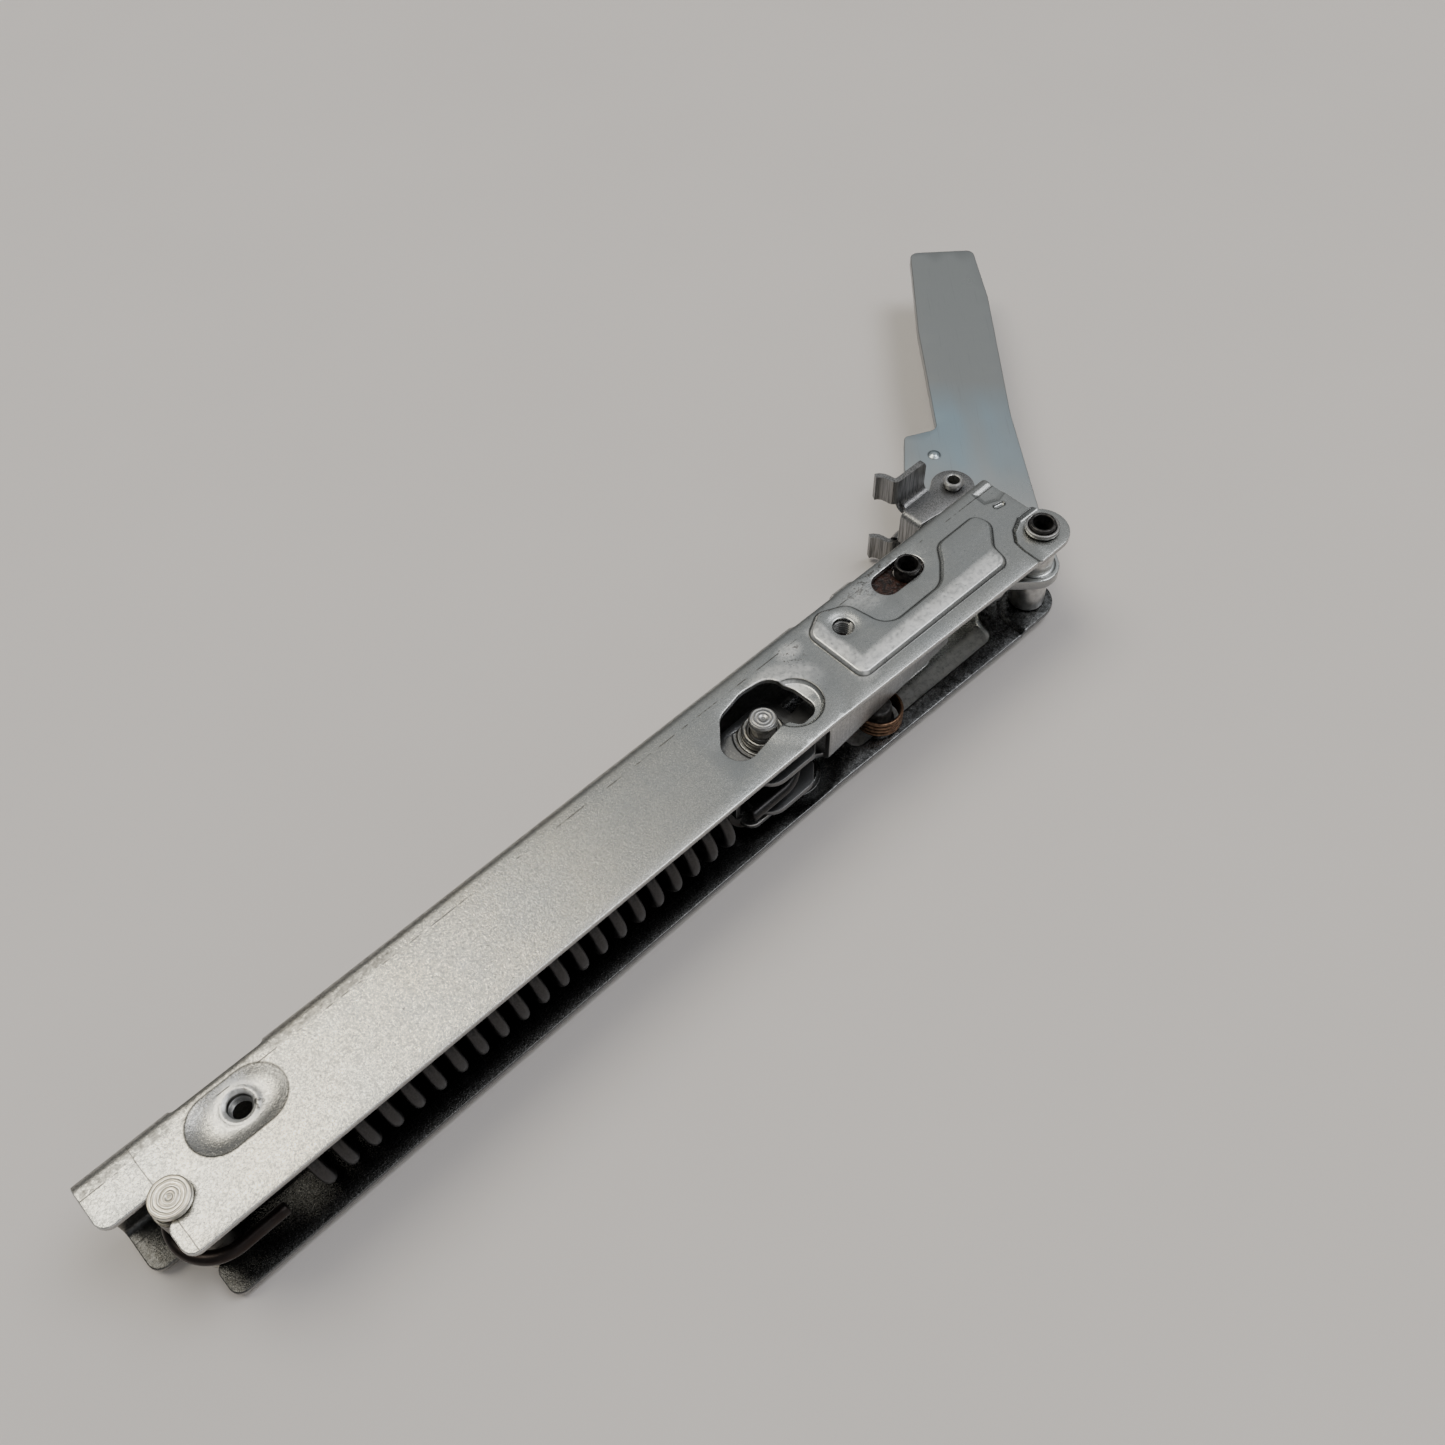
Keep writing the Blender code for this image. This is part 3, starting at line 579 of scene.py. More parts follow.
class Surface:
    """A node material built around one Principled BSDF, with texture space in millimetres."""

    def __init__(self, name):
        self.material = bpy.data.materials.new(name)
        self.material.use_nodes = True
        self.tree = self.material.node_tree
        self.shader = self.tree.nodes["Principled BSDF"]
        place = self.add("ShaderNodeTexCoord")
        scale = self.add("ShaderNodeVectorMath", operation="SCALE")
        scale.inputs["Scale"].default_value = 1 / MM
        self.link(place.outputs["Object"], scale.inputs[0])
        self.space = scale.outputs[0]
        self.height = None

    def add(self, kind, **settings):
        node = self.tree.nodes.new(kind)
        for key, value in settings.items():
            setattr(node, key, value)
        return node

    def link(self, source, target):
        self.tree.links.new(source, target)

    def feed(self, source, target):
        if hasattr(source, "is_linked"):
            self.link(source, target)
        else:
            target.default_value = source

    def stretched(self, factors, turn=0.0):
        mapping = self.add("ShaderNodeMapping", vector_type="TEXTURE")
        mapping.inputs["Scale"].default_value = [1 / factor for factor in factors]
        mapping.inputs["Rotation"].default_value = (0, 0, math.radians(turn))
        self.link(self.space, mapping.inputs[0])
        return mapping.outputs[0]

    def noise(self, size, detail, roughness, space=None, distortion=0.0):
        """Noise from 0 to 1, its lumps about this many millimetres across."""
        node = self.add("ShaderNodeTexNoise")
        node.inputs["Scale"].default_value = 1 / size
        node.inputs["Detail"].default_value = detail
        node.inputs["Roughness"].default_value = roughness
        node.inputs["Distortion"].default_value = distortion
        self.link(space or self.space, node.inputs["Vector"])
        return node.outputs["Fac"]

    def ramp(self, source, low, high, start=0.0, end=1.0):
        """source between low and high, spread to run from start to end."""
        node = self.add("ShaderNodeMapRange")
        node.inputs["From Min"].default_value = low
        node.inputs["From Max"].default_value = high
        node.inputs["To Min"].default_value = start
        node.inputs["To Max"].default_value = end
        self.link(source, node.inputs["Value"])
        return node.outputs["Result"]

    def maths(self, operation, a, b):
        node = self.add("ShaderNodeMath", operation=operation)
        self.feed(a, node.inputs[0])
        self.feed(b, node.inputs[1])
        return node.outputs[0]

    def mix(self, factor, a, b):
        node = self.add("ShaderNodeMix", data_type="RGBA")
        self.feed(factor, node.inputs["Factor"])
        self.feed(a, node.inputs["A"])
        self.feed(b, node.inputs["B"])
        return node.outputs["Result"]

    def bump(self, source, depth):
        """Adds relief this many millimetres deep."""
        node = self.add("ShaderNodeBump")
        node.inputs["Distance"].default_value = depth * MM
        node.inputs["Strength"].default_value = 1.0
        self.link(source, node.inputs["Height"])
        if self.height is not None:
            self.link(self.height, node.inputs["Normal"])
        self.height = node.outputs["Normal"]

    def axis(self, letter):
        node = self.add("ShaderNodeSeparateXYZ")
        self.link(self.space, node.inputs[0])
        return node.outputs[letter]

    def slope(self, letter, low, high, start=0.0, end=1.0):
        """A ramp between two plan coordinates along an axis."""
        shift = {"X": ORIGIN.x, "Y": ORIGIN.y, "Z": 0.0}[letter]
        return self.ramp(self.axis(letter), low + shift, high + shift, start, end)

    def distance(self, centre, stretch=(1, 1, 0)):
        """Millimetres from a plan point, or from the upright axis through it."""
        shift = self.add("ShaderNodeVectorMath", operation="SUBTRACT")
        shift.inputs[1].default_value = (centre[0] + ORIGIN.x, centre[1] + ORIGIN.y, 0)
        self.link(self.space, shift.inputs[0])
        squash = self.add("ShaderNodeVectorMath", operation="MULTIPLY")
        squash.inputs[1].default_value = stretch
        self.link(shift.outputs[0], squash.inputs[0])
        length = self.add("ShaderNodeVectorMath", operation="LENGTH")
        self.link(squash.outputs[0], length.inputs[0])
        return length.outputs["Value"]

    def spot(self, centre, inner, outer, stretch=(1, 1, 0)):
        """1 within inner millimetres of a plan point, falling to 0 at outer."""
        return self.ramp(self.distance(centre, stretch), inner, outer, 1.0, 0.0)

    def band(self, letter, start, end, soft):
        """1 between two plan coordinates along an axis, falling to 0 over soft millimetres each way."""
        shift = {"X": ORIGIN.x, "Y": ORIGIN.y, "Z": 0.0}[letter]
        place = self.axis(letter)
        low = self.ramp(place, start + shift - soft, start + shift, 0.0, 1.0)
        high = self.ramp(place, end + shift, end + shift + soft, 1.0, 0.0)
        return self.maths("MULTIPLY", low, high)

    def both(self, a, b):
        return self.maths("MULTIPLY", a, b)

    def either(self, a, b):
        return self.maths("MAXIMUM", a, b)

    def mark(self, name):
        """A value stored on the mesh's points: edge, side or crease."""
        return self.add("ShaderNodeAttribute", attribute_name=name).outputs["Fac"]

    def done(self, colour, roughness, metallic=1.0, rim=None, rim_wear_and_reflection=rgb(0.84, 0.84, 0.83)):
        """Feeds the shader. Given a rim, it first paints the sheared faces a dull dark grey that is partly
        shade, a highlight with wear along the corners to that degree, and shade with dirt in the creases."""
        if rim is not None:
            # Sheared faces: dull metal, painted darker as shade.
            colour = self.mix(self.both(self.mark("side"), 0.75), colour, rgb(0.20, 0.20, 0.205))
            # Along the corners a painted highlight that also stands for wear.
            colour = self.mix(self.both(self.mark("edge"), rim), colour, rim_wear_and_reflection)
            # Painted shade, with dirt, darkens the creases.
            colour = self.mix(self.both(self.mark("crease"), 0.94), colour, rgb(0.04, 0.039, 0.038))
        self.feed(colour, self.shader.inputs["Base Color"])
        self.feed(roughness, self.shader.inputs["Roughness"])
        self.feed(metallic, self.shader.inputs["Metallic"])
        if self.height is not None:
            self.link(self.height, self.shader.inputs["Normal"])
        return self.material


def zinc_base(s, warm, cool, grain, coarse=0.6):
    """Zinc plate's grain: mottling, soft clouds, faint rolling marks and small pits. Returns its colour,
    its mottling and its rubbed streaks."""
    cloud = s.noise(20, 4, 0.6)
    mottle = s.noise(0.48, 4, 0.65, distortion=0.4)
    fine = s.noise(0.25, 3, 0.6)
    rolled = s.noise(0.8, 4, 0.6, s.stretched((0.05, 1.7, 1.7)))
    pits = s.noise(0.7, 2, 0.5)
    rub = s.noise(8, 5, 0.72, s.stretched((0.35, 1.2, 1.0)))
    base = s.mix(s.ramp(cloud, 0.35, 0.65), warm, cool)
    base = s.mix(s.both(s.ramp(mottle, 0.49, 0.62, 0.0, 0.62), coarse), base, rgb(0.25, 0.25, 0.245))
    base = s.mix(s.both(s.ramp(mottle, 0.46, 0.34, 0.0, 0.66), coarse), base, rgb(0.90, 0.885, 0.83))
    base = s.mix(s.ramp(rolled, 0.58, 0.72, 0.0, 0.40), base, rgb(0.27, 0.265, 0.26))
    base = s.mix(s.ramp(pits, 0.67, 0.73, 0.0, 0.65), base, rgb(0.10, 0.095, 0.09))
    base = s.mix(s.ramp(rub, 0.60, 0.74, 0.0, 0.35), base, rgb(0.74, 0.735, 0.72))
    s.bump(s.both(mottle, coarse), grain * 3.6)
    s.bump(fine, grain)
    s.bump(rolled, grain * 0.8)
    return base, mottle, rub


def zinc(name, warm, cool, rough):
    s = Surface(name)
    base, mottle, _ = zinc_base(s, warm, cool, 0.014)
    return s.done(base, s.ramp(mottle, 0.3, 0.7, *rough), rim=0.6)


def link_steel():
    """Brushed light zinc on the web, with painted shade darkening the eye at the cam pin."""
    s = Surface("link_steel")
    base, mottle, _ = zinc_base(s, rgb(0.52, 0.52, 0.51), rgb(0.44, 0.45, 0.46), 0.014)
    lines = s.noise(0.6, 5, 0.65, s.stretched((1.6, 1.6, 0.06)))
    base = s.mix(s.ramp(lines, 0.45, 0.66, 0.0, 0.5), base, rgb(0.24, 0.24, 0.24))
    # Painted shade: the end at the cam pin is darkened, and its rim highlight dimmed.
    shaded_eye = s.slope("X", 145.6, 147.0, 1.0, 0.0)
    base = s.mix(s.both(shaded_eye, 0.90), base, rgb(0.09, 0.092, 0.095))
    s.bump(lines, 0.02)
    return s.done(base, s.ramp(mottle, 0.3, 0.7, 0.30, 0.44), rim=s.ramp(shaded_eye, 0.0, 1.0, 0.75, 0.15))


def highlights_and_bright_patches(s, speck, rub):
    """How much the housing is painted brighter: as highlights above the cam slot, along the long pad's low
    side and end and in the dish by the first fixing hole, and in two patches near the fold."""
    # Painted highlights on the bevel above the cam slot, on the long pad's low side and end slopes, and
    # round the hole in the dish.
    halo = s.both(s.spot((141.6, 11.4), 9.4, 11.6), s.slope("Y", 9, 15))
    pad_side = s.both(s.band("X", 158.5, 206, 3), s.band("Y", 4.6, 7.6, 1.4))
    pad_end = s.both(s.band("Y", 5, 21, 3), s.band("X", 157.6, 160.6, 1.2))
    dish = s.spot(FIXING[0], 3.4, 6.5)
    # Two brighter patches near the fold.
    corner = s.spot((150.5, 21.6), 1.5, 3.6, (0.8, 1.2, 0))
    upper = s.both(s.spot((177.0, 21.5), 2.0, 7.0, (0.7, 1.2, 0)), s.ramp(rub, 0.4, 0.55))
    shine = halo
    for patch in (pad_side, pad_end, dish, corner, upper):
        shine = s.either(shine, patch)
    return s.both(shine, s.ramp(speck, 0.34, 0.55, 0.25, 0.95))


def marks_and_shade(s, speck):
    """How dark the housing is marked: a line across the left lugs and one along the fold, painted shade on
    the bend, and darker patches on the bend, above the slots and by the first fixing hole."""
    wander = s.ramp(s.noise(5, 3, 0.6), 0, 1, -0.25, 0.25)
    along = s.maths("ADD", s.axis("X"), wander)
    line = s.maths("ABSOLUTE", s.maths("SUBTRACT", along, ORIGIN.x - 19.6), 0.0)
    line = s.both(s.ramp(line, 0.05, 0.15, 0.8, 0.0), s.slope("Z", 28.6, 29.2))
    fold = s.maths("ABSOLUTE", s.maths("SUBTRACT", s.axis("Y"), ORIGIN.y + 22.9), 0.0)
    fold = s.both(s.ramp(fold, 0.05, 0.2, 1.0, 0.0), s.ramp(s.noise(4, 3, 0.6), 0.46, 0.55))
    # Painted shade on the bend, growing towards the web, broken up by specks.
    bend = s.both(s.slope("Y", 23.6, 26.2), s.ramp(speck, 0.36, 0.60, 0.45, 1.0))
    # Darker patches above the slots, by the first fixing hole and in two strips along the bend.
    dark_patches = s.both(s.spot((180.5, 23.6), 2.5, 9.0, (0.6, 1.3, 0)), s.ramp(speck, 0.50, 0.60))
    dark_patches = s.either(dark_patches, s.both(s.spot((150.0, 20.8), 2.5, 4.8), s.ramp(speck, 0.55, 0.62)))
    dark_patches = s.either(dark_patches, s.both(s.spot((3.0, 16.6), 1.2, 2.6), s.ramp(speck, 0.50, 0.58)))
    for start, end in ((-29.5, -12.5), (11.5, 40.0)):
        bend_patch = s.both(s.band("X", start, end, 1.5), s.band("Y", 23.4, 25.6, 0.5))
        dark_patches = s.either(dark_patches, s.both(bend_patch, s.ramp(s.noise(1.4, 5, 0.7), 0.40, 0.56, 0.1, 0.62)))
    return s.either(s.either(line, fold), s.either(s.both(bend, 0.62), s.both(dark_patches, 0.9)))


def housing_zinc():
    """The housing's zinc: coarser at the left, cooler at the right, marked outside and painted dark with
    shade inside.
    """
    s = Surface("housing_zinc")
    coarse = s.slope("X", 50, 135, 1.0, 0.22)
    base, mottle, rub = zinc_base(s, rgb(0.64, 0.615, 0.555), rgb(0.56, 0.565, 0.55), 0.016, coarse)
    base = s.mix(s.slope("X", 55, 120, 0.0, 0.55), base, rgb(0.52, 0.555, 0.565))
    speck = s.noise(1.1, 5, 0.7)
    shine = highlights_and_bright_patches(s, speck, rub)
    # Painted highlights and bright patches lighten the zinc.
    base = s.mix(shine, base, rgb(0.93, 0.93, 0.91))

    # The dish by the first fixing hole is smooth, and painted greyer towards its outline as shade on its
    # slope.
    bowl = s.spot((-0.65, 17.9), 3.6, 6.6, (0.63, 1.0, 0))
    bowl = s.both(s.ramp(bowl, 0.0, 0.10), s.ramp(bowl, 0.05, 0.85, 0.45, 0.0))
    base = s.mix(bowl, base, rgb(0.30, 0.305, 0.31))
    # Marks, painted shade and darker patches, all in near black.
    marks = marks_and_shade(s, speck)
    base = s.mix(marks, base, rgb(0.10, 0.095, 0.09))

    # Inside the channel the zinc is dull and painted dark as shade, darkest round the spring, with darker
    # specks.
    inner = s.both(s.band("Z", 1.3, 28.2, 0.3), s.slope("Y", 26.6, 25.9))
    tone = s.mix(s.slope("X", 120, 165), rgb(0.075, 0.076, 0.077), rgb(0.20, 0.205, 0.21))
    inner_shade = s.mix(s.ramp(speck, 0.40, 0.62), tone, rgb(0.035, 0.035, 0.034))
    base = s.mix(s.both(inner, 0.94), base, inner_shade)
    rough = s.ramp(mottle, 0.3, 0.7, 0.20, 0.32)
    rough = s.maths("ADD", rough, s.both(s.either(marks, shine), 0.16))
    # The painted highlight along the corners, with wear, is strong on the front wall and faint on the back
    # wall.
    edge = s.both(s.slope("Z", 4.0, 26.0, 0.08, 0.85), s.ramp(speck, 0.36, 0.52, 0.45, 1.0))
    return s.done(base, rough, rim=edge)


def arm_steel():
    """Smooth cold-rolled steel, with blue temper streaks near the pivot and fine marks along the blade."""
    s = Surface("arm_steel")
    cloud = s.noise(26, 4, 0.55)
    fine = s.noise(0.4, 3, 0.6)
    along = s.noise(0.7, 4, 0.6, s.stretched((0.05, 1.6, 1.0), 48))
    streak = s.noise(11, 1, 0.4, s.stretched((0.25, 1.2, 1.0), 52))
    away = s.maths("ADD", s.axis("X"), s.maths("MULTIPLY", s.axis("Y"), 0.9))
    start = ORIGIN.x + 242 + 0.9 * (ORIGIN.y + 38)
    reach = s.both(s.ramp(away, start - 22, start - 2), s.ramp(away, start + 22, start + 42, 1.0, 0.0))
    tint = s.both(reach, s.ramp(streak, 0.36, 0.66, 0.15, 0.85))
    root = s.ramp(away, start - 30, start + 30, 1.0, 0.0)
    stain = s.noise(2.4, 5, 0.7)
    base = s.mix(s.ramp(cloud, 0.35, 0.65), rgb(0.575, 0.60, 0.59), rgb(0.525, 0.55, 0.55))
    base = s.mix(s.both(root, 0.85), base, rgb(0.84, 0.865, 0.855))
    base = s.mix(tint, base, rgb(0.54, 0.71, 0.81))
    base = s.mix(s.ramp(along, 0.60, 0.76, 0.0, 0.3), base, rgb(0.36, 0.37, 0.38))
    base = s.mix(s.ramp(stain, 0.68, 0.76, 0.0, 0.30), base, rgb(0.34, 0.34, 0.33))
    s.bump(fine, 0.005)
    s.bump(along, 0.006)
    # Along its edges a dark painted reflection line.
    return s.done(base, s.ramp(cloud, 0.3, 0.7, 0.26, 0.34), rim=0.8, rim_wear_and_reflection=rgb(0.22, 0.225, 0.23))


def catch_steel():
    """Coarsely ground steel, its marks running from plate to plate."""
    s = Surface("catch_steel")
    lines = s.noise(0.55, 5, 0.65, s.stretched((1.5, 1.5, 0.05)))
    cloud = s.noise(5, 3, 0.6)
    fine = s.noise(0.3, 3, 0.6)
    base = s.mix(s.ramp(lines, 0.38, 0.62), rgb(0.37, 0.37, 0.37), rgb(0.12, 0.12, 0.122))
    base = s.mix(s.ramp(cloud, 0.4, 0.7, 0.0, 0.4), base, rgb(0.30, 0.31, 0.32))
    s.bump(lines, 0.03)
    s.bump(fine, 0.008)
    return s.done(base, s.ramp(lines, 0.3, 0.7, 0.34, 0.5), rim=0.85)


def turned_metal(name, centre, light, dark, rough=(0.26, 0.42), ring=0.42, depth=0.012, shade_between_walls=0.0):
    """Lathe-faced metal: rings round the piece's own axis, smears, and painted shade between the walls."""
    s = Surface(name)
    wobble = s.ramp(s.noise(2.2, 2, 0.5), 0, 1, -0.25, 0.25)
    radius = s.maths("ADD", s.distance(centre), wobble)
    rings = s.maths("SINE", s.maths("MULTIPLY", radius, 2 * math.pi / ring), 0.0)
    lines = s.noise(0.35, 4, 0.6, s.stretched((0.15, 0.15, 2.4)))
    smear = s.noise(1.6, 4, 0.65)
    base = s.mix(s.ramp(rings, -1, 1), light, dark)
    base = s.mix(s.ramp(smear, 0.5, 0.75, 0.0, 0.6), base, rgb(0.30, 0.27, 0.22))
    # Painted shade on the length between the housing's walls.
    base = s.mix(s.both(s.band("Z", 1.6, 27.9, 0.6), shade_between_walls), base, rgb(0.06, 0.058, 0.055))
    s.bump(rings, depth)
    s.bump(lines, 0.008)
    return s.done(base, s.ramp(smear, 0.3, 0.7, *rough))


def oiled_black(name, tone=0.018, rough=(0.22, 0.42), metallic=0.55, sheen=rgb(0.085, 0.08, 0.078)):
    """Blackened steel with a thin uneven coat of oil."""
    s = Surface(name)
    film = s.noise(1.3, 4, 0.6)
    fine = s.noise(0.3, 3, 0.6)
    base = s.mix(s.ramp(film, 0.4, 0.7), rgb(tone, tone * 0.96, tone * 0.95), sheen)
    s.bump(fine, 0.01)
    s.bump(film, 0.02)
    return s.done(base, s.ramp(film, 0.3, 0.7, *rough), metallic)


def spring_wire():
    """Near black drawn wire, with a brown film on the left hook."""
    s = Surface("spring_wire")
    fine = s.noise(0.4, 4, 0.6)
    cloud = s.noise(6, 3, 0.6)
    base = s.mix(s.ramp(fine, 0.35, 0.7), rgb(0.032, 0.031, 0.032), rgb(0.065, 0.063, 0.064))
    base = s.mix(s.slope("X", -6, -2, 0.9, 0.0), base, rgb(0.026, 0.016, 0.013))
    base = s.mix(s.ramp(cloud, 0.45, 0.7, 0.0, 0.5), base, rgb(0.045, 0.043, 0.042))
    s.bump(fine, 0.012)
    return s.done(base, s.ramp(fine, 0.3, 0.7, 0.28, 0.44), 0.85)


def copper_wire():
    s = Surface("copper_wire")
    film = s.noise(1.0, 4, 0.6)
    fine = s.noise(0.25, 3, 0.6)
    base = s.mix(s.ramp(film, 0.35, 0.7), rgb(0.27, 0.165, 0.105), rgb(0.06, 0.036, 0.025))
    s.bump(fine, 0.01)
    return s.done(base, s.ramp(film, 0.3, 0.7, 0.28, 0.45))


def grease():
    """Red-brown grease in the straight slot."""
    s = Surface("grease")
    film = s.noise(1.2, 4, 0.65)
    base = s.mix(s.ramp(film, 0.40, 0.72), rgb(0.010, 0.006, 0.005), rgb(0.060, 0.022, 0.014))
    s.bump(film, 0.25)
    return s.done(base, s.ramp(film, 0.3, 0.7, 0.12, 0.3), 0.0)


def floor_paper():
    s = Surface("floor_paper")
    cloud = s.noise(90, 3, 0.5)
    grain = s.noise(0.8, 3, 0.6)
    base = s.mix(s.ramp(cloud, 0.3, 0.7), rgb(0.755, 0.715, 0.69), rgb(0.775, 0.735, 0.71))
    s.bump(grain, 0.01)
    return s.done(base, 0.75, 0.0)


# ---------------------------------------------------------------- the housing

# Plan outlines, as corners with a radius each.
RECESS = (141.0, 10.3)

KIDNEY = (
    (120.4, 5.7, 4.2),
    (130.6, 7.5, 6),
    (136.6, 8.2, 1.2),
    (138.4, 5.3, 1.8),
    (144.4, 5.6, 3.0),
    (144.0, 13.6, 6),
    (141.3, 19.9, 4.5),
    (134.5, 21.0, 9),
    (126.4, 19.4, 5),
    (120.3, 12.6, 4),
)

PAD_OUTLINE = (
    (156.6, 3.7, 3),
    (207.6, 3.0, 3.5),
    (208.9, 9.0, 3),
    (214.6, 14.6, 3.5),
    (213.2, 19.4, 2.5),
    (199.5, 19.4, 4),
    (195.8, 15.0, 5),
    (190.5, 10.4, 6),
    (172.4, 10.4, 5),
    (170.4, 21.6, 4),
    (163.3, 25.0, 3.5),
    (156.6, 21.6, 4),
)


def housing_outline(fold, bend_cut):
    """Lugs and the anchor's notch at the left, a round end at the pivot, and a web that stops short."""
    lug_r, notch_r, step_x, pivot_r, web_end = 3, 3.2, -21.9, 7.0, 176.5
    notch_top, notch_low = ANCHOR[1] + notch_r, ANCHOR[1] - notch_r
    end_turn = math.degrees(math.acos((RIGHT_X - PIVOT[0]) / pivot_r))
    front = arc((LEFT_X + lug_r, notch_top + lug_r), lug_r, 180, 270, 8)
    front += arc(ANCHOR, notch_r, 90, -90, 20)
    front += arc((step_x + 2.4, notch_low - 2.4), 2.4, 90, 180, 7)
    front += arc((step_x + 2.8, 2.8), 2.8, 180, 270, 8)
    front += [(146.0, 0.0), (217.0, -1.8)]
    front += arc(PIVOT, pivot_r, -90, end_turn, 24)
    half = [(LEFT_X, fold.total / 2)] + fold.to_pattern(front)
    half += arc((RIGHT_X - 1, bend_cut - 1), 1, 0, 90, 5)
    half += arc((web_end + 0.9, bend_cut + 0.9), 0.9, 270, 180, 5) + [(web_end, fold.total / 2)]
    return fold.outline(half)


def housing_holes(fold, bend_cut):
    """The holes through both walls, and the notches in the bends."""
    slot = obround((181.8, 19.7), (190.0, 19.7), 3.5)
    screws = [circle(centre, 2.5, 40) for centre in FIXING]
    holes = fold.holes([rounded(KIDNEY), slot, circle(PIVOT, 3.55), *screws])
    depth = fold.arc + WIDTH - BEND - NOTCH_Z
    for front_start, back_start, end in NOTCHES:
        for start, near, far in (
            (front_start, bend_cut, depth),
            (back_start, fold.total - depth, fold.total - bend_cut),
        ):
            corners = [(start, near, 1.0), (end, near, 1.0), (end, far, 1.5), (start, far, 1.5)]
            holes.append(rounded(corners, 5))
    return holes


def housing_presses(fold):
    """The pressed features: outline, height, slope, foot, brow and how dark the crease is painted with
    shade and dirt.
    """
    beyond = RIGHT_X + 6
    lobe = [(beyond, 11.0), (220.6, 11.3), (216.4, 9.5), (213.7, 6.6), (213.1, 3.4)]
    lobe += [(213.0, -8.0), (beyond, -8.0)]
    corner = [(beyond, 24.6), (218.6, 24.4), (218.2, 20.0), (222.0, 18.4), (beyond, 20.4)]
    shapes = (
        (obround((-4.5, 17.9), (3.2, 17.9), 6.5, 14), -PAD, 3.4, 0.12, 1.6),
        (rounded(PAD_OUTLINE), PAD, 0.8, 0.14, 0.22),
        (circle(RECESS, 6.75, 40), -0.95, 0.7, 0.12, 0.25),
        (circle(RECESS, 12.0, 44), 0.35, 3.6, 0.5, 1.2, 0.0),
        (lobe, -0.9, 0.9, 0.14, 0.3),
        (circle(FIXING[1], 4.4, 36), -0.30, 1.5, 0.3, 0.4, 0.0),
        (circle(FIXING[0], 4.4, 36), 0.25, 0.8, 0.3, 0.2, 0.0),
        (circle(FIXING[0], 3.3, 36), -0.45, 0.9, 0.2, 0.2, 0.15),
        (obround((219.8, 17.5), (221.6, 17.1), 0.75, 8), -0.4, 0.4, 0.1, 0.15),
        (corner, -0.35, 1.2, 0.3, 0.3, 0.5),
    )
    return [Press(fold.to_pattern(loop), *settings) for loop, *settings in shapes]


def build_housing(look):
    fold = Fold((0, BEND_Y), (1, 0), WIDTH, BEND)
    bend_cut = fold.arc / 3
    rows = fold.bend_rows([LEFT_X + 0.8 + i * 1.6 for i in range(162)], 8)
    for i in range(43):
        u = LEFT_X + 3 + i * 6
        rows += [(u, v) for k in range(4) for v in (-5 - 5.5 * k, fold.total + 5 + 5.5 * k)]
        rows += [(u, fold.arc + w) for w in (5, 11, 17)]
    outline, holes = housing_outline(fold, bend_cut), housing_holes(fold, bend_cut)
    presses = housing_presses(fold)
    built = sheet_mesh(outline, holes, fold, SHEET, presses, 0.28, 0.7, rows, fold.total)
    finish("housing_shell", "housing", "housing_channel", look, built, 50)


def on_back(points):
    """Points moved to the same place on the back wall's side."""
    return np.asarray(points) * (1, 1, -1) + (0, 0, 2 * MID)


def build_fixings(look):
    """Screw threads in the four fixing holes, each in a short drawn collar."""
    collars = ((FIXING[0], WIDTH - PAD - 0.25, 3.4), (FIXING[1], WIDTH + PAD - 0.32, 5.6))
    for number, (centre, outer, length) in enumerate(collars):
        low = outer - length
        collar = sleeve(2.52, 3.5, low, outer - SHEET + 0.3, centre, 0.25, 48)
        points, faces, marks = joined([collar, thread(centre, 2.5, low, outer - 0.35)])
        for side, placed in (("front", points), ("back", on_back(points))):
            name = f"fixing_thread_{side}_{number + 1}"
            finish(name, "housing", None, look, (placed, faces, marks))


# ---------------------------------------------------------------- turned pieces


def mirrored_profile(half):
    return half + [(r, 2 * MID - z) for r, z in half[::-1]]


def build_rings(base, kind, body, look, inner, outer, centre, ease):
    """The front and the back ring of a pair, as high as their CAD nodes."""
    for node in (base + "_front", base + "_back"):
        finish(f"{node}_{kind}", body, node, look, sleeve(inner, outer, *depth_of(node), centre, ease))


def build_pivot(black, steel, bright):
    tube = sleeve(2.45, 3.325, *depth_of("pivot_sleeve"), PIVOT, 0.35)
    finish("pivot_sleeve_tube", "housing", "pivot_sleeve", black, tube)
    build_rings("pivot_collar", "ring", "housing", steel, 3.45, 4.3, PIVOT, 0.3)
    build_rings("pivot_bush", "tube", "housing", bright, 3.45, 4.6, PIVOT, 0.3)


def build_anchor(look):
    """A pin with a lathe-ringed head outside each wall, a shoulder inside it and a waist for the spring."""
    top, dip, inside_wall = PIN_TOP, PIN_TOP - 0.05, WIDTH - SHEET - 0.3
    half = [(0, dip), (0.5, dip), (0.6, top), (1.5, top), (1.6, dip), (2.5, dip), (2.6, top)]
    half += [(4.1, top), (4.1, WIDTH + 0.3), (2.9, WIDTH + 0.3), (2.9, inside_wall)]
    half += [(4.5, inside_wall), (4.5, MID + 2.6), (GROOVE_R, MID + 2.6)]
    pin = lathe(eased(mirrored_profile(half), 0.22), ANCHOR, 96)
    finish("anchor_pin_turned", "housing", "anchor_pin", look, pin)


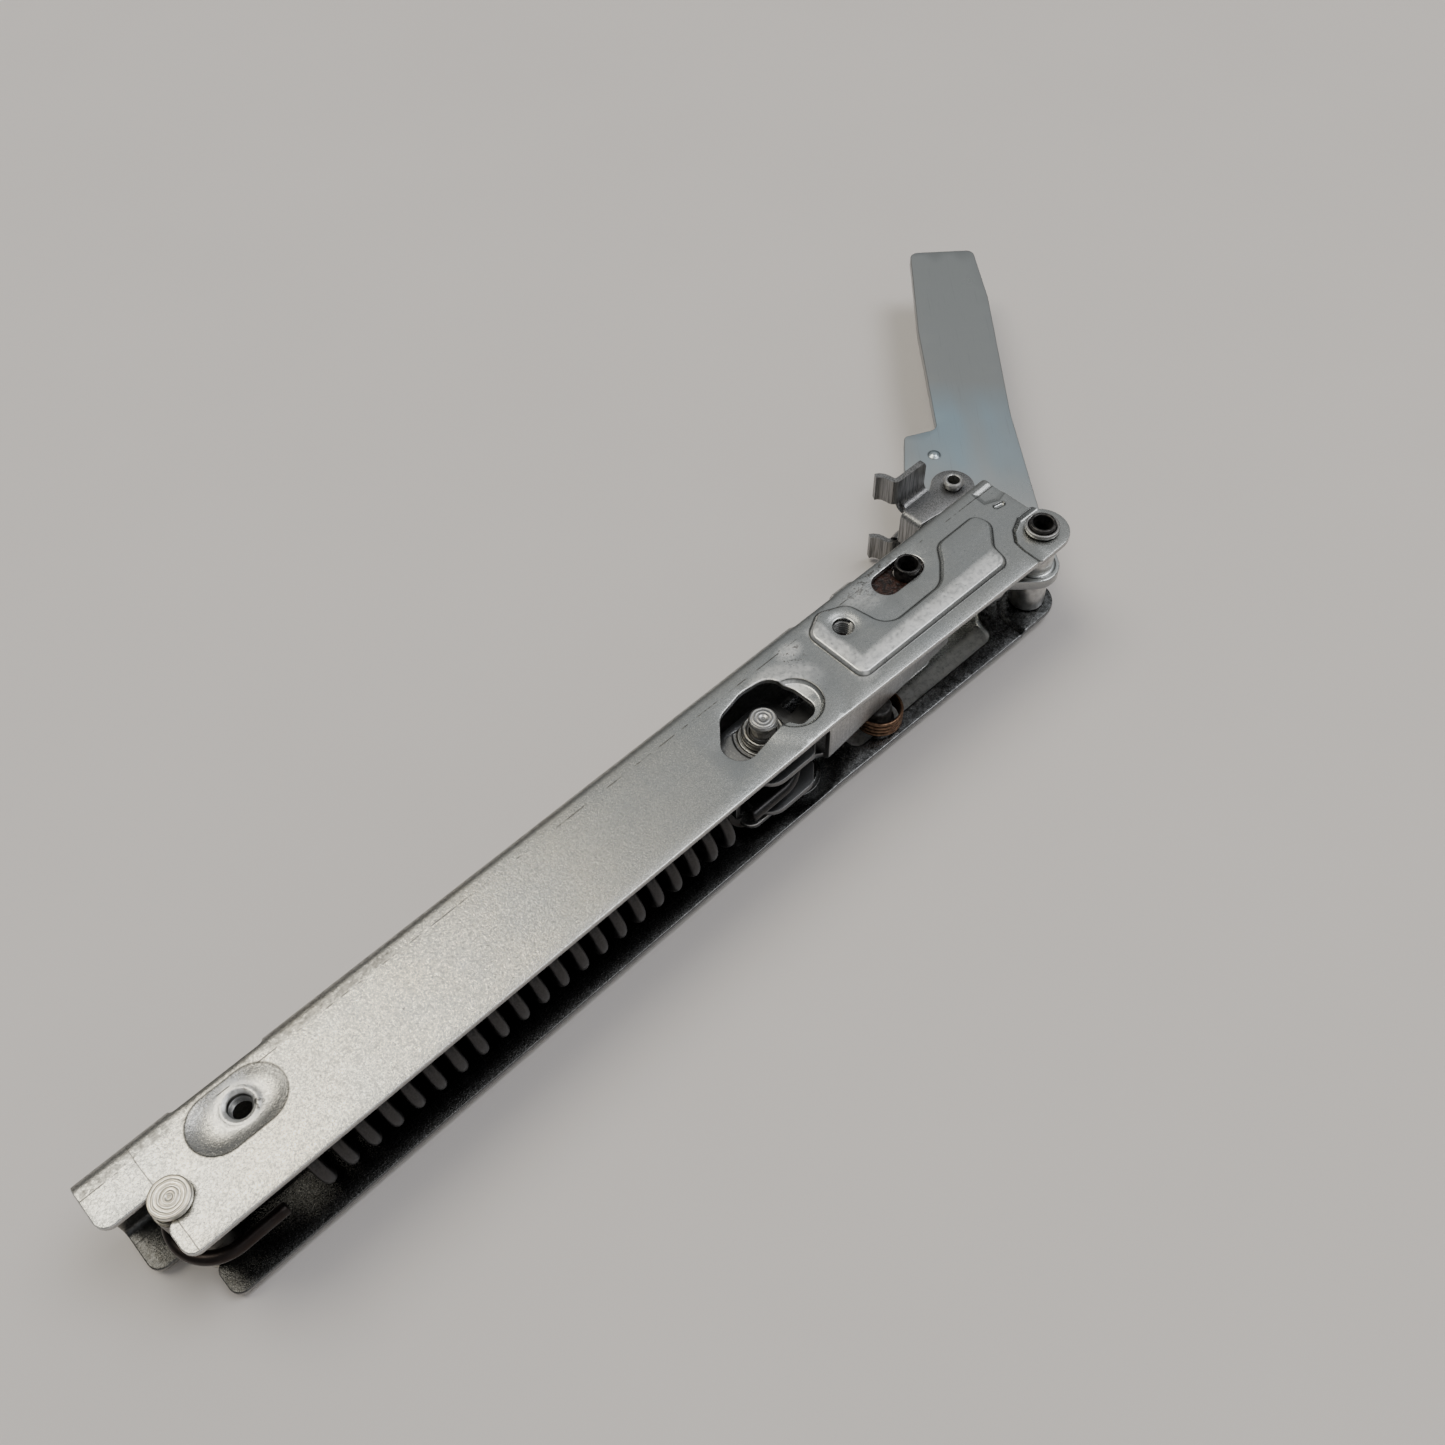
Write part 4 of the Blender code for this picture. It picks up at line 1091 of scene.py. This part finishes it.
def build_cam_stack(pin, bright, dark):
    top, head_r, neck_r, pin_r = PIN_TOP, 3.3, 2.75, 3.03
    half = [(0, top - 0.22), (0.35, top - 0.2), (0.9, top - 0.03), (2.9, top)]
    half += [(head_r, top - 0.4), (head_r, top - 1.5), (neck_r, top - 1.7), (neck_r, WIDTH - 3.2)]
    half += [(pin_r, WIDTH - 3.5), (pin_r, MID)]
    finish("cam_pin_turned", "clevis", "cam_pin", pin, lathe(eased(mirrored_profile(half), 0.15), CAM))
    build_rings("cam_washer", "ring", "clevis", bright, 3.2, 5.0, CAM, 0.25)
    spacer = sleeve(3.2, 4.5, *depth_of("cam_spacer"), CAM, 0.3)
    finish("cam_spacer_tube", "clevis", "cam_spacer", dark, spacer)


def build_catch_rivet(look, steel):
    high = depth_of("catch_rivet")[1]
    half = [(1.55, high - 0.1), (1.9, high), (2.25, high - 0.03)]
    half += [(2.75, high - 0.5), (2.6, high - 1.0), (2.25, high - 1.2)]
    rivet = lathe(eased(mirrored_profile(half), 0.12, closed=True), CATCH, 64, closed=True)
    finish("catch_rivet_flared", "arm", "catch_rivet", look, rivet)
    build_rings("catch_spacer", "ring", "arm", steel, 2.4, 4.4, CATCH, 0.25)


def build_tail(pin, bright):
    high = depth_of("tail_pin")[1]
    half = [(0, high), (3.1, high), (3.6, high - 0.4), (3.6, high - 1.2), (2.5, high - 1.2)]
    headed = lathe(eased(mirrored_profile(half), 0.25), TAIL)
    finish("tail_pin_headed", "arm", "tail_pin", pin, headed)
    build_rings("tail_spacer", "ring", "arm", bright, 2.65, 4.4, TAIL, 0.25)


def build_buffer(black, dark):
    x, y = BUFFER
    tube = sleeve(2.45, 3.15, *depth_of("buffer_sleeve"), BUFFER, 0.3)
    finish("buffer_sleeve_tube", "buffer", "buffer_sleeve", black, tube)
    outline = obround((x - 8.4, y), BUFFER, 4.3)
    rows = [(x - 12 + 1.1 * i, y - 3.8 + 1.1 * k) for i in range(15) for k in range(8)]
    for node in ("buffer_shoe_front", "buffer_shoe_back"):
        low, high = depth_of(node)
        hole = circle(BUFFER, 3.4, 40)
        built = sheet_mesh(outline, [hole], Flat(high), high - low, (), 0.2, 0.8, rows)
        finish(node + "_plate", "buffer", node, dark, built, 50)


# ---------------------------------------------------------------- sheet and plate pieces


def build_arm(look):
    low, high = depth_of("door_arm")
    far_side = [(295.0, 111.7, 2.6), (269.4, 85.7, 14), (242.2, 54.7, 2.5)]
    stop_lug = [(233.6, 59.0, 1.5), (224.6, 50.9, 1.5), (216.4, 40.0, 4)]
    eyes = arc(TAIL, 6.0, 170, 230, 10) + arc(PIVOT, 6.5, 228, 318, 18)
    near_side = [(237.8, 15.5, 12), (261.1, 44.3, 40), (295.5, 81.2, 40), (309.5, 99.0, 2.4)]
    outline = rounded(far_side + stop_lug + sharp(eyes) + near_side)
    holes = [circle(PIVOT, 3.5), circle(TAIL, 2.7, 36), circle(CATCH, 2.4, 32)]
    dimple = Press(circle((234.0, 48.5), 1.6, 24), 0.55, 0.9, 0.25)
    collar = Press(circle(PIVOT, 5.4, 44), 0.35, 0.5, 0.15)
    rows = [(200 + 6 * i, 6 * k) for i in range(20) for k in range(20)]
    built = sheet_mesh(outline, holes, Flat(high), high - low, [dimple, collar], 0.3, 0.8, rows)
    finish("door_arm_blade", "arm", "door_arm", look, built, 50)


def build_link(look):
    """Two plates with an eye at each end, joined by a web between the eyes."""
    start, end = Vector((146.0, 5.4)), Vector((192.0, 8.5))
    length = (end - start).length
    fold = Fold(end, start - end, depth_of("draw_link")[1], 2.0, (-0.01, length + 0.01))
    upper = [(142.6, 12.8, 0), (142.6, 20.2, 5), (122.8, 20.2, 5)]
    lower = [(124.2, 1.0, 5.5), (138.4, 1.0, 3), (142.6, 4.9, 0.5), (142.6, 6.2, 0)]
    left = rounded(upper + lower) + [(144.6, 6.2)]
    right = [(193.6, 9.0), (205.0, 8.6)] + arc(TAIL, 6.0, 268, 450, 24) + [(203.5, 13.8), (147.0, 13.4)]
    middle = fold.total / 2
    half = [(0, middle), (0, 0.15)] + fold.to_pattern(right + left) + [(length, 0.15), (length, middle)]
    holes = fold.holes([obround(CAM, (129.1, 14.4), 3.78), circle(TAIL, 2.65, 36)])
    rows = fold.bend_rows([0.5 + i * 0.9 for i in range(51)], 6)
    built = sheet_mesh(fold.outline(half), holes, fold, SHEET, (), 0.25, 0.8, rows, fold.total)
    finish("draw_link_sheet", "link", "draw_link", look, built, 50)


def build_clevis(look):
    """A plate on each side of the cam pin, a pressed ring round the pin, and a short web between them."""
    low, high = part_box("spring_clevis")
    left, right = low.x / MM - ORIGIN.x + 0.3, high.x / MM - ORIGIN.x
    bottom, top = low.y / MM - ORIGIN.y, high.y / MM - ORIGIN.y
    web_low, web_high, radius = 7.8, 15.0, 2.0
    web_x, web_length = left + 1.7, web_high - web_low
    fold = Fold((web_x, web_low), (0, 1), high.z / MM, radius, (-0.01, web_length + 0.01))
    middle = fold.total / 2
    lower = [(web_x, web_low - 0.05, 0), (left, web_low - 0.8, 0.3), (left, bottom, 3)]
    upper = [(left, top, 1), (left, web_high + 0.8, 0.3), (web_x, web_high + 0.05, 0)]
    plate = rounded(lower + [(right, bottom, 5), (right, top, 4.5)] + upper, 10)
    half = [(0.1, middle), (0.1, 0.05)] + fold.to_pattern(plate)
    half += [(web_length - 0.1, 0.05), (web_length - 0.1, middle)]
    holes = fold.holes([circle(CAM, 3.2, 40)])
    ring = Press(fold.to_pattern(circle(CAM, 7.0, 44)), -0.3, 0.3, 0.08, 0.1)
    rise = Press(fold.to_pattern(circle(CAM, 6.0, 44)), 0.3, 0.3, 0.08, 0.1)
    rows = fold.bend_rows([0.5 + 0.8 * i for i in range(9)], 6)
    built = sheet_mesh(fold.outline(half), holes, fold, SHEET, (ring, rise), 0.25, 0.8, rows, fold.total)
    finish("spring_clevis_sheet", "clevis", "spring_clevis", look, built, 50)


def strip_sheet(rows, thickness):
    """A thick ribbon from rows of outer-face points. Each row holds the same count of points."""
    grid = np.asarray(rows, float)
    normal = np.cross(np.gradient(grid, axis=0), np.gradient(grid, axis=1))
    normal /= np.maximum(np.linalg.norm(normal, axis=2, keepdims=True), 1e-9)
    n, m = grid.shape[:2]
    points = np.concatenate([grid.reshape(-1, 3), (grid - normal * thickness).reshape(-1, 3)])
    faces = []
    for i in range(n - 1):
        for j in range(m - 1):
            a = i * m + j
            quad = (a, a + 1, a + m + 1, a + m)
            faces.append(quad)
            faces.append(tuple(k + n * m for k in quad[::-1]))
    ring = list(range(m)) + [i * m + m - 1 for i in range(1, n)]
    ring += [(n - 1) * m + j for j in range(m - 2, -1, -1)] + [i * m for i in range(n - 2, 0, -1)]
    for a, b in zip(ring, ring[1:] + ring[:1]):
        faces.append((a, a + n * m, b + n * m, b))
    return points, faces


def hooked_tab(top, tall, radius, square_x, tab_y):
    """The tall tab on the catch's front plate, from its square end to the tip of its hook."""
    step, corner, hook_x, hook_foot = 0.6, 1.6, 209.9, 21.9
    path = [(square_x - i * step, tab_y) for i in range(17)]
    path += arc((209.6, tab_y + 2.0), 2.0, 265, 190, 8)
    path += [(207.45, 43.0), (207.2, 43.9), (206.6, 44.7), (205.9, 45.1)]
    bend = [math.radians(15 * k) for k in range(7)]
    last = len(bend) + 7
    grid = []
    for i, (x, y) in enumerate(path):
        if x <= hook_x:
            # The hook hangs free above the plate.
            grid.append([(x, y, hook_foot + (tall - hook_foot) * k / last) for k in range(last + 1)])
            continue
        column = [(x, y - radius * (1 - math.sin(a)), top + radius * (1 - math.cos(a))) for a in bend]
        column += [(x, y, top + radius + (tall - top - radius) * k / 8) for k in range(1, 9)]
        # The square end's top corner is cut round.
        reach = max(0.0, 1 - step * i / corner)
        ceiling = tall - corner * (1 - math.sqrt(1 - reach * reach))
        grid.append([(x, y, min(z, ceiling)) for x, y, z in column])
    return strip_sheet(grid, -SHEET)


def build_catch(look):
    """Two plates joined by a web, and on each plate a tall tab whose end curls away into a hook."""
    tall = depth_of("catch_clip")[1]
    top, left, radius, web_y, square_x, tab_y = 20.5, 208.2, 1.8, 31.6, 219.4, 40.0
    fold = Fold((left + radius, web_y), (0, 1), top, radius)
    plan = [(left + radius, web_y, 0), (213.0, 31.2, 12)] + sharp(arc(CATCH, 5.8, -75, 130, 28))
    plan += [(square_x, tab_y - radius, 0), (209.2, tab_y - radius, 0), (left + radius, 38.0, 0)]
    middle = fold.total / 2
    half = [(0, middle)] + fold.to_pattern(rounded(plan)) + [(6.4, middle)]
    holes = fold.holes([circle(CATCH, 2.4, 32)])
    rows = fold.bend_rows([0.3 + i * 0.8 for i in range(8)], 6)
    plates = sheet_mesh(fold.outline(half), holes, fold, SHEET, (), 0.22, 0.7, rows, fold.total)
    tab, faces = hooked_tab(top, tall, radius, square_x, tab_y)
    parts = [plates, (tab, faces), (on_back(tab), faces)]
    finish("catch_clip_sheet", "catch", "catch_clip", look, joined(parts), 45)


# ---------------------------------------------------------------- springs


def turn_up(start, start_way, end, end_way, reach=3.2, steps=14):
    """Points strictly between two places, on a cubic curve with the given ways at its ends."""
    one = Vector(start) + Vector(start_way).normalized() * reach
    two = Vector(end) - Vector(end_way).normalized() * reach
    points = []
    for k in range(1, steps):
        t = k / steps
        outer = Vector(start) * (1 - t) ** 3 + Vector(end) * t**3
        inner = one * 3 * t * (1 - t) ** 2 + two * 3 * t * t * (1 - t)
        points.append(tuple(outer + inner))
    return points


def build_main_spring(look):
    """Close coils between two loops, one over the anchor pin and one over the cam pin's spacer."""
    coil_y, coil_r, wire_r, coils = 11.4, 9.05, 1.45, 21
    start, end, per_turn = 1.6, 115.2, 48
    count, first = coils * per_turn, per_turn // 10
    coil = []
    for i in range(first, count - first + 1):
        a = 2 * math.pi * i / per_turn
        x = start + (end - start) * i / count
        coil.append((x, coil_y + coil_r * math.cos(a), MID + coil_r * math.sin(a)))
    turn = 2 * math.pi * first / per_turn
    rise = (end - start) / coils / (2 * math.pi * coil_r)
    top, bottom = coil_y + coil_r, coil_y - coil_r
    left_x = ANCHOR[0] - GROOVE_R - 0.3 + coil_r - wire_r
    right_x = CAM[0] + SPACER_R + 0.3 - coil_r + wire_r
    left = [(-3.6 - 0.9 * k, top) for k in range(12)] + arc((left_x, coil_y), coil_r, 90, 270, 60)
    left += [(left_x + 1.2 * k, bottom) for k in range(1, 9)]
    right = [(120.4 + 1.1 * k, top) for k in range(8)] + arc((right_x, coil_y), coil_r, 90, -90, 60)
    right += [(right_x - 1.2 * k, bottom) for k in range(1, 9)]
    left, right = ([(x, y, MID) for x, y in loop] for loop in (left, right))
    lead_in = turn_up(coil[0], (-rise, math.sin(turn), -math.cos(turn)), left[0], (-1, 0, 0))
    lead_out = turn_up(coil[-1], (rise, math.sin(turn), math.cos(turn)), right[0], (1, 0, 0))
    built = wire(left[::-1] + lead_in[::-1] + coil + lead_out + right, wire_r, 20)
    slide_from = (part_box("anchor_pin")[1].x, 0, 0)
    slide_to = (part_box("spring_clevis")[0].x, 0, 0)
    stretch = ("housing", "clevis", slide_from, slide_to)
    finish("main_spring_wire", None, "main_spring", look, built, 60, stretch)


def build_return_spring(look, post_look):
    x, y = POST
    radius, turns, per_turn, low, pitch = 5.7, 4, 56, 2.1, 1.3
    path = [(x - 13.0 + i, y + radius, low) for i in range(13)]
    for i in range(turns * per_turn + 1):
        a = math.pi / 2 - 2 * math.pi * i / per_turn
        path.append((x + radius * math.cos(a), y + radius * math.sin(a), low + pitch * i / per_turn))
    path += [(x + 1.0 + i, y + radius, low + pitch * turns) for i in range(12)]
    finish("return_spring_wire", "housing", "return_spring", look, wire(path, 0.45, 12), 60)
    a, b = depth_of("spring_post")
    post = [(0, b), (2.9, b), (3.3, b - 0.4), (3.3, a + 0.9), (4.1, a + 0.7), (4.2, a), (0, a)]
    finish("spring_post_turned", "housing", "spring_post", post_look, lathe(eased(post, 0.25), POST))


# ---------------------------------------------------------------- the stage

# Soft lights on the sky: direction, half width and softness in degrees, strength, colour.
LIGHTS = (
    ((0.0, 0.0, 1.0), 100, 60, 0.23, (0.98, 1.0, 1.01)),
    ((-0.18, 0.41, 0.895), 17, 3, 4.5, (1.0, 0.945, 0.81)),
    ((0.38, -0.20, 0.90), 14, 6, 4.8, (0.985, 0.99, 1.02)),
    ((0.55, 0.40, 0.73), 22, 14, 0.11, (0.97, 1.0, 1.02)),
    ((-0.2, -0.9, 0.35), 18, 10, 0.45, (1.0, 1.0, 1.0)),
)


def build_stage():
    floor_z = CAD_BOX[0].z - 0.4 * MM
    mesh = bpy.data.meshes.new("floor")
    half = 3.0
    corners = [(x * half, y * half, floor_z) for x, y in ((-1, -1), (1, -1), (1, 1), (-1, 1))]
    mesh.from_pydata(corners, [], [(0, 1, 2, 3)])
    mesh.materials.append(floor_paper())
    floor = bpy.data.objects.new("floor", mesh)
    bpy.context.scene.collection.objects.link(floor)

    world = bpy.data.worlds.new("studio")
    world.use_nodes = True
    tree = world.node_tree
    place = tree.nodes.new("ShaderNodeTexCoord")
    total = None
    for way, spread, soft, power, colour in LIGHTS:
        vector = Vector(way).normalized()
        dot = tree.nodes.new("ShaderNodeVectorMath")
        dot.operation = "DOT_PRODUCT"
        dot.inputs[1].default_value = vector
        tree.links.new(place.outputs["Generated"], dot.inputs[0])
        edge = tree.nodes.new("ShaderNodeMapRange")
        edge.interpolation_type = "SMOOTHSTEP"
        edge.inputs["From Min"].default_value = math.cos(math.radians(spread + soft))
        edge.inputs["From Max"].default_value = math.cos(math.radians(max(0.0, spread - soft)))
        tree.links.new(dot.outputs["Value"], edge.inputs["Value"])
        lamp = tree.nodes.new("ShaderNodeVectorMath")
        lamp.operation = "SCALE"
        lamp.inputs[0].default_value = [channel * power for channel in colour]
        tree.links.new(edge.outputs["Result"], lamp.inputs["Scale"])
        if total is None:
            total = lamp.outputs[0]
            continue
        add = tree.nodes.new("ShaderNodeVectorMath")
        add.operation = "ADD"
        tree.links.new(total, add.inputs[0])
        tree.links.new(lamp.outputs[0], add.inputs[1])
        total = add.outputs[0]
    tree.links.new(total, tree.nodes["Background"].inputs["Color"])
    bpy.context.scene.world = world


def build_camera():
    data = bpy.data.cameras.new("camera")
    data.sensor_width = 36.0
    data.lens = 35.014
    data.clip_start = 0.01
    camera = bpy.data.objects.new("camera", data)
    place = Vector((4.159, -116.812, 284.561)) + ORIGIN
    camera.location = place * MM
    camera.rotation_euler = (math.radians(35.410), math.radians(1.240), math.radians(-43.834))
    bpy.context.scene.collection.objects.link(camera)
    bpy.context.scene.camera = camera


def main():
    link_zinc = zinc("link_zinc", rgb(0.50, 0.50, 0.49), rgb(0.42, 0.43, 0.44), (0.30, 0.46))
    clevis_zinc = zinc("clevis_zinc", rgb(0.27, 0.27, 0.265), rgb(0.17, 0.172, 0.175), (0.28, 0.42))
    light, dark = rgb(0.32, 0.315, 0.30), rgb(0.04, 0.04, 0.04)
    washer = turned_metal("washer_steel", CAM, light, dark, ring=0.9, depth=0.04)
    dull_zinc = zinc("dull_zinc", rgb(0.36, 0.355, 0.35), rgb(0.28, 0.285, 0.29), (0.30, 0.46))
    bright = turned_metal("bright_steel", PIVOT, rgb(0.58, 0.575, 0.56), rgb(0.36, 0.36, 0.36))
    rivet = turned_metal("rivet_steel", CATCH, rgb(0.62, 0.62, 0.61), rgb(0.40, 0.40, 0.40))
    pale, straw = rgb(0.88, 0.85, 0.77), rgb(0.56, 0.51, 0.42)
    anchor = turned_metal("anchor_face", ANCHOR, pale, straw, (0.24, 0.38), 0.72, 0.035, 0.92)
    light, dark = rgb(0.52, 0.52, 0.51), rgb(0.30, 0.30, 0.30)
    pin = turned_metal("pin_face", CAM, light, dark, ring=0.9, depth=0.03)
    black = oiled_black("black_sleeve")
    dark_steel = oiled_black("dark_steel", 0.05, (0.3, 0.5), 0.8, rgb(0.16, 0.155, 0.15))
    greasy = grease()

    build_housing(housing_zinc())
    build_fixings(clevis_zinc)
    build_pivot(black, dull_zinc, bright)
    build_anchor(anchor)
    build_cam_stack(pin, washer, dark_steel)
    build_catch_rivet(rivet, link_zinc)
    build_tail(pin, bright)
    build_buffer(black, greasy)
    build_arm(arm_steel())
    build_link(link_steel())
    build_clevis(clevis_zinc)
    build_catch(catch_steel())
    build_main_spring(spring_wire())
    build_return_spring(copper_wire(), dark_steel)
    build_stage()
    build_camera()


main()
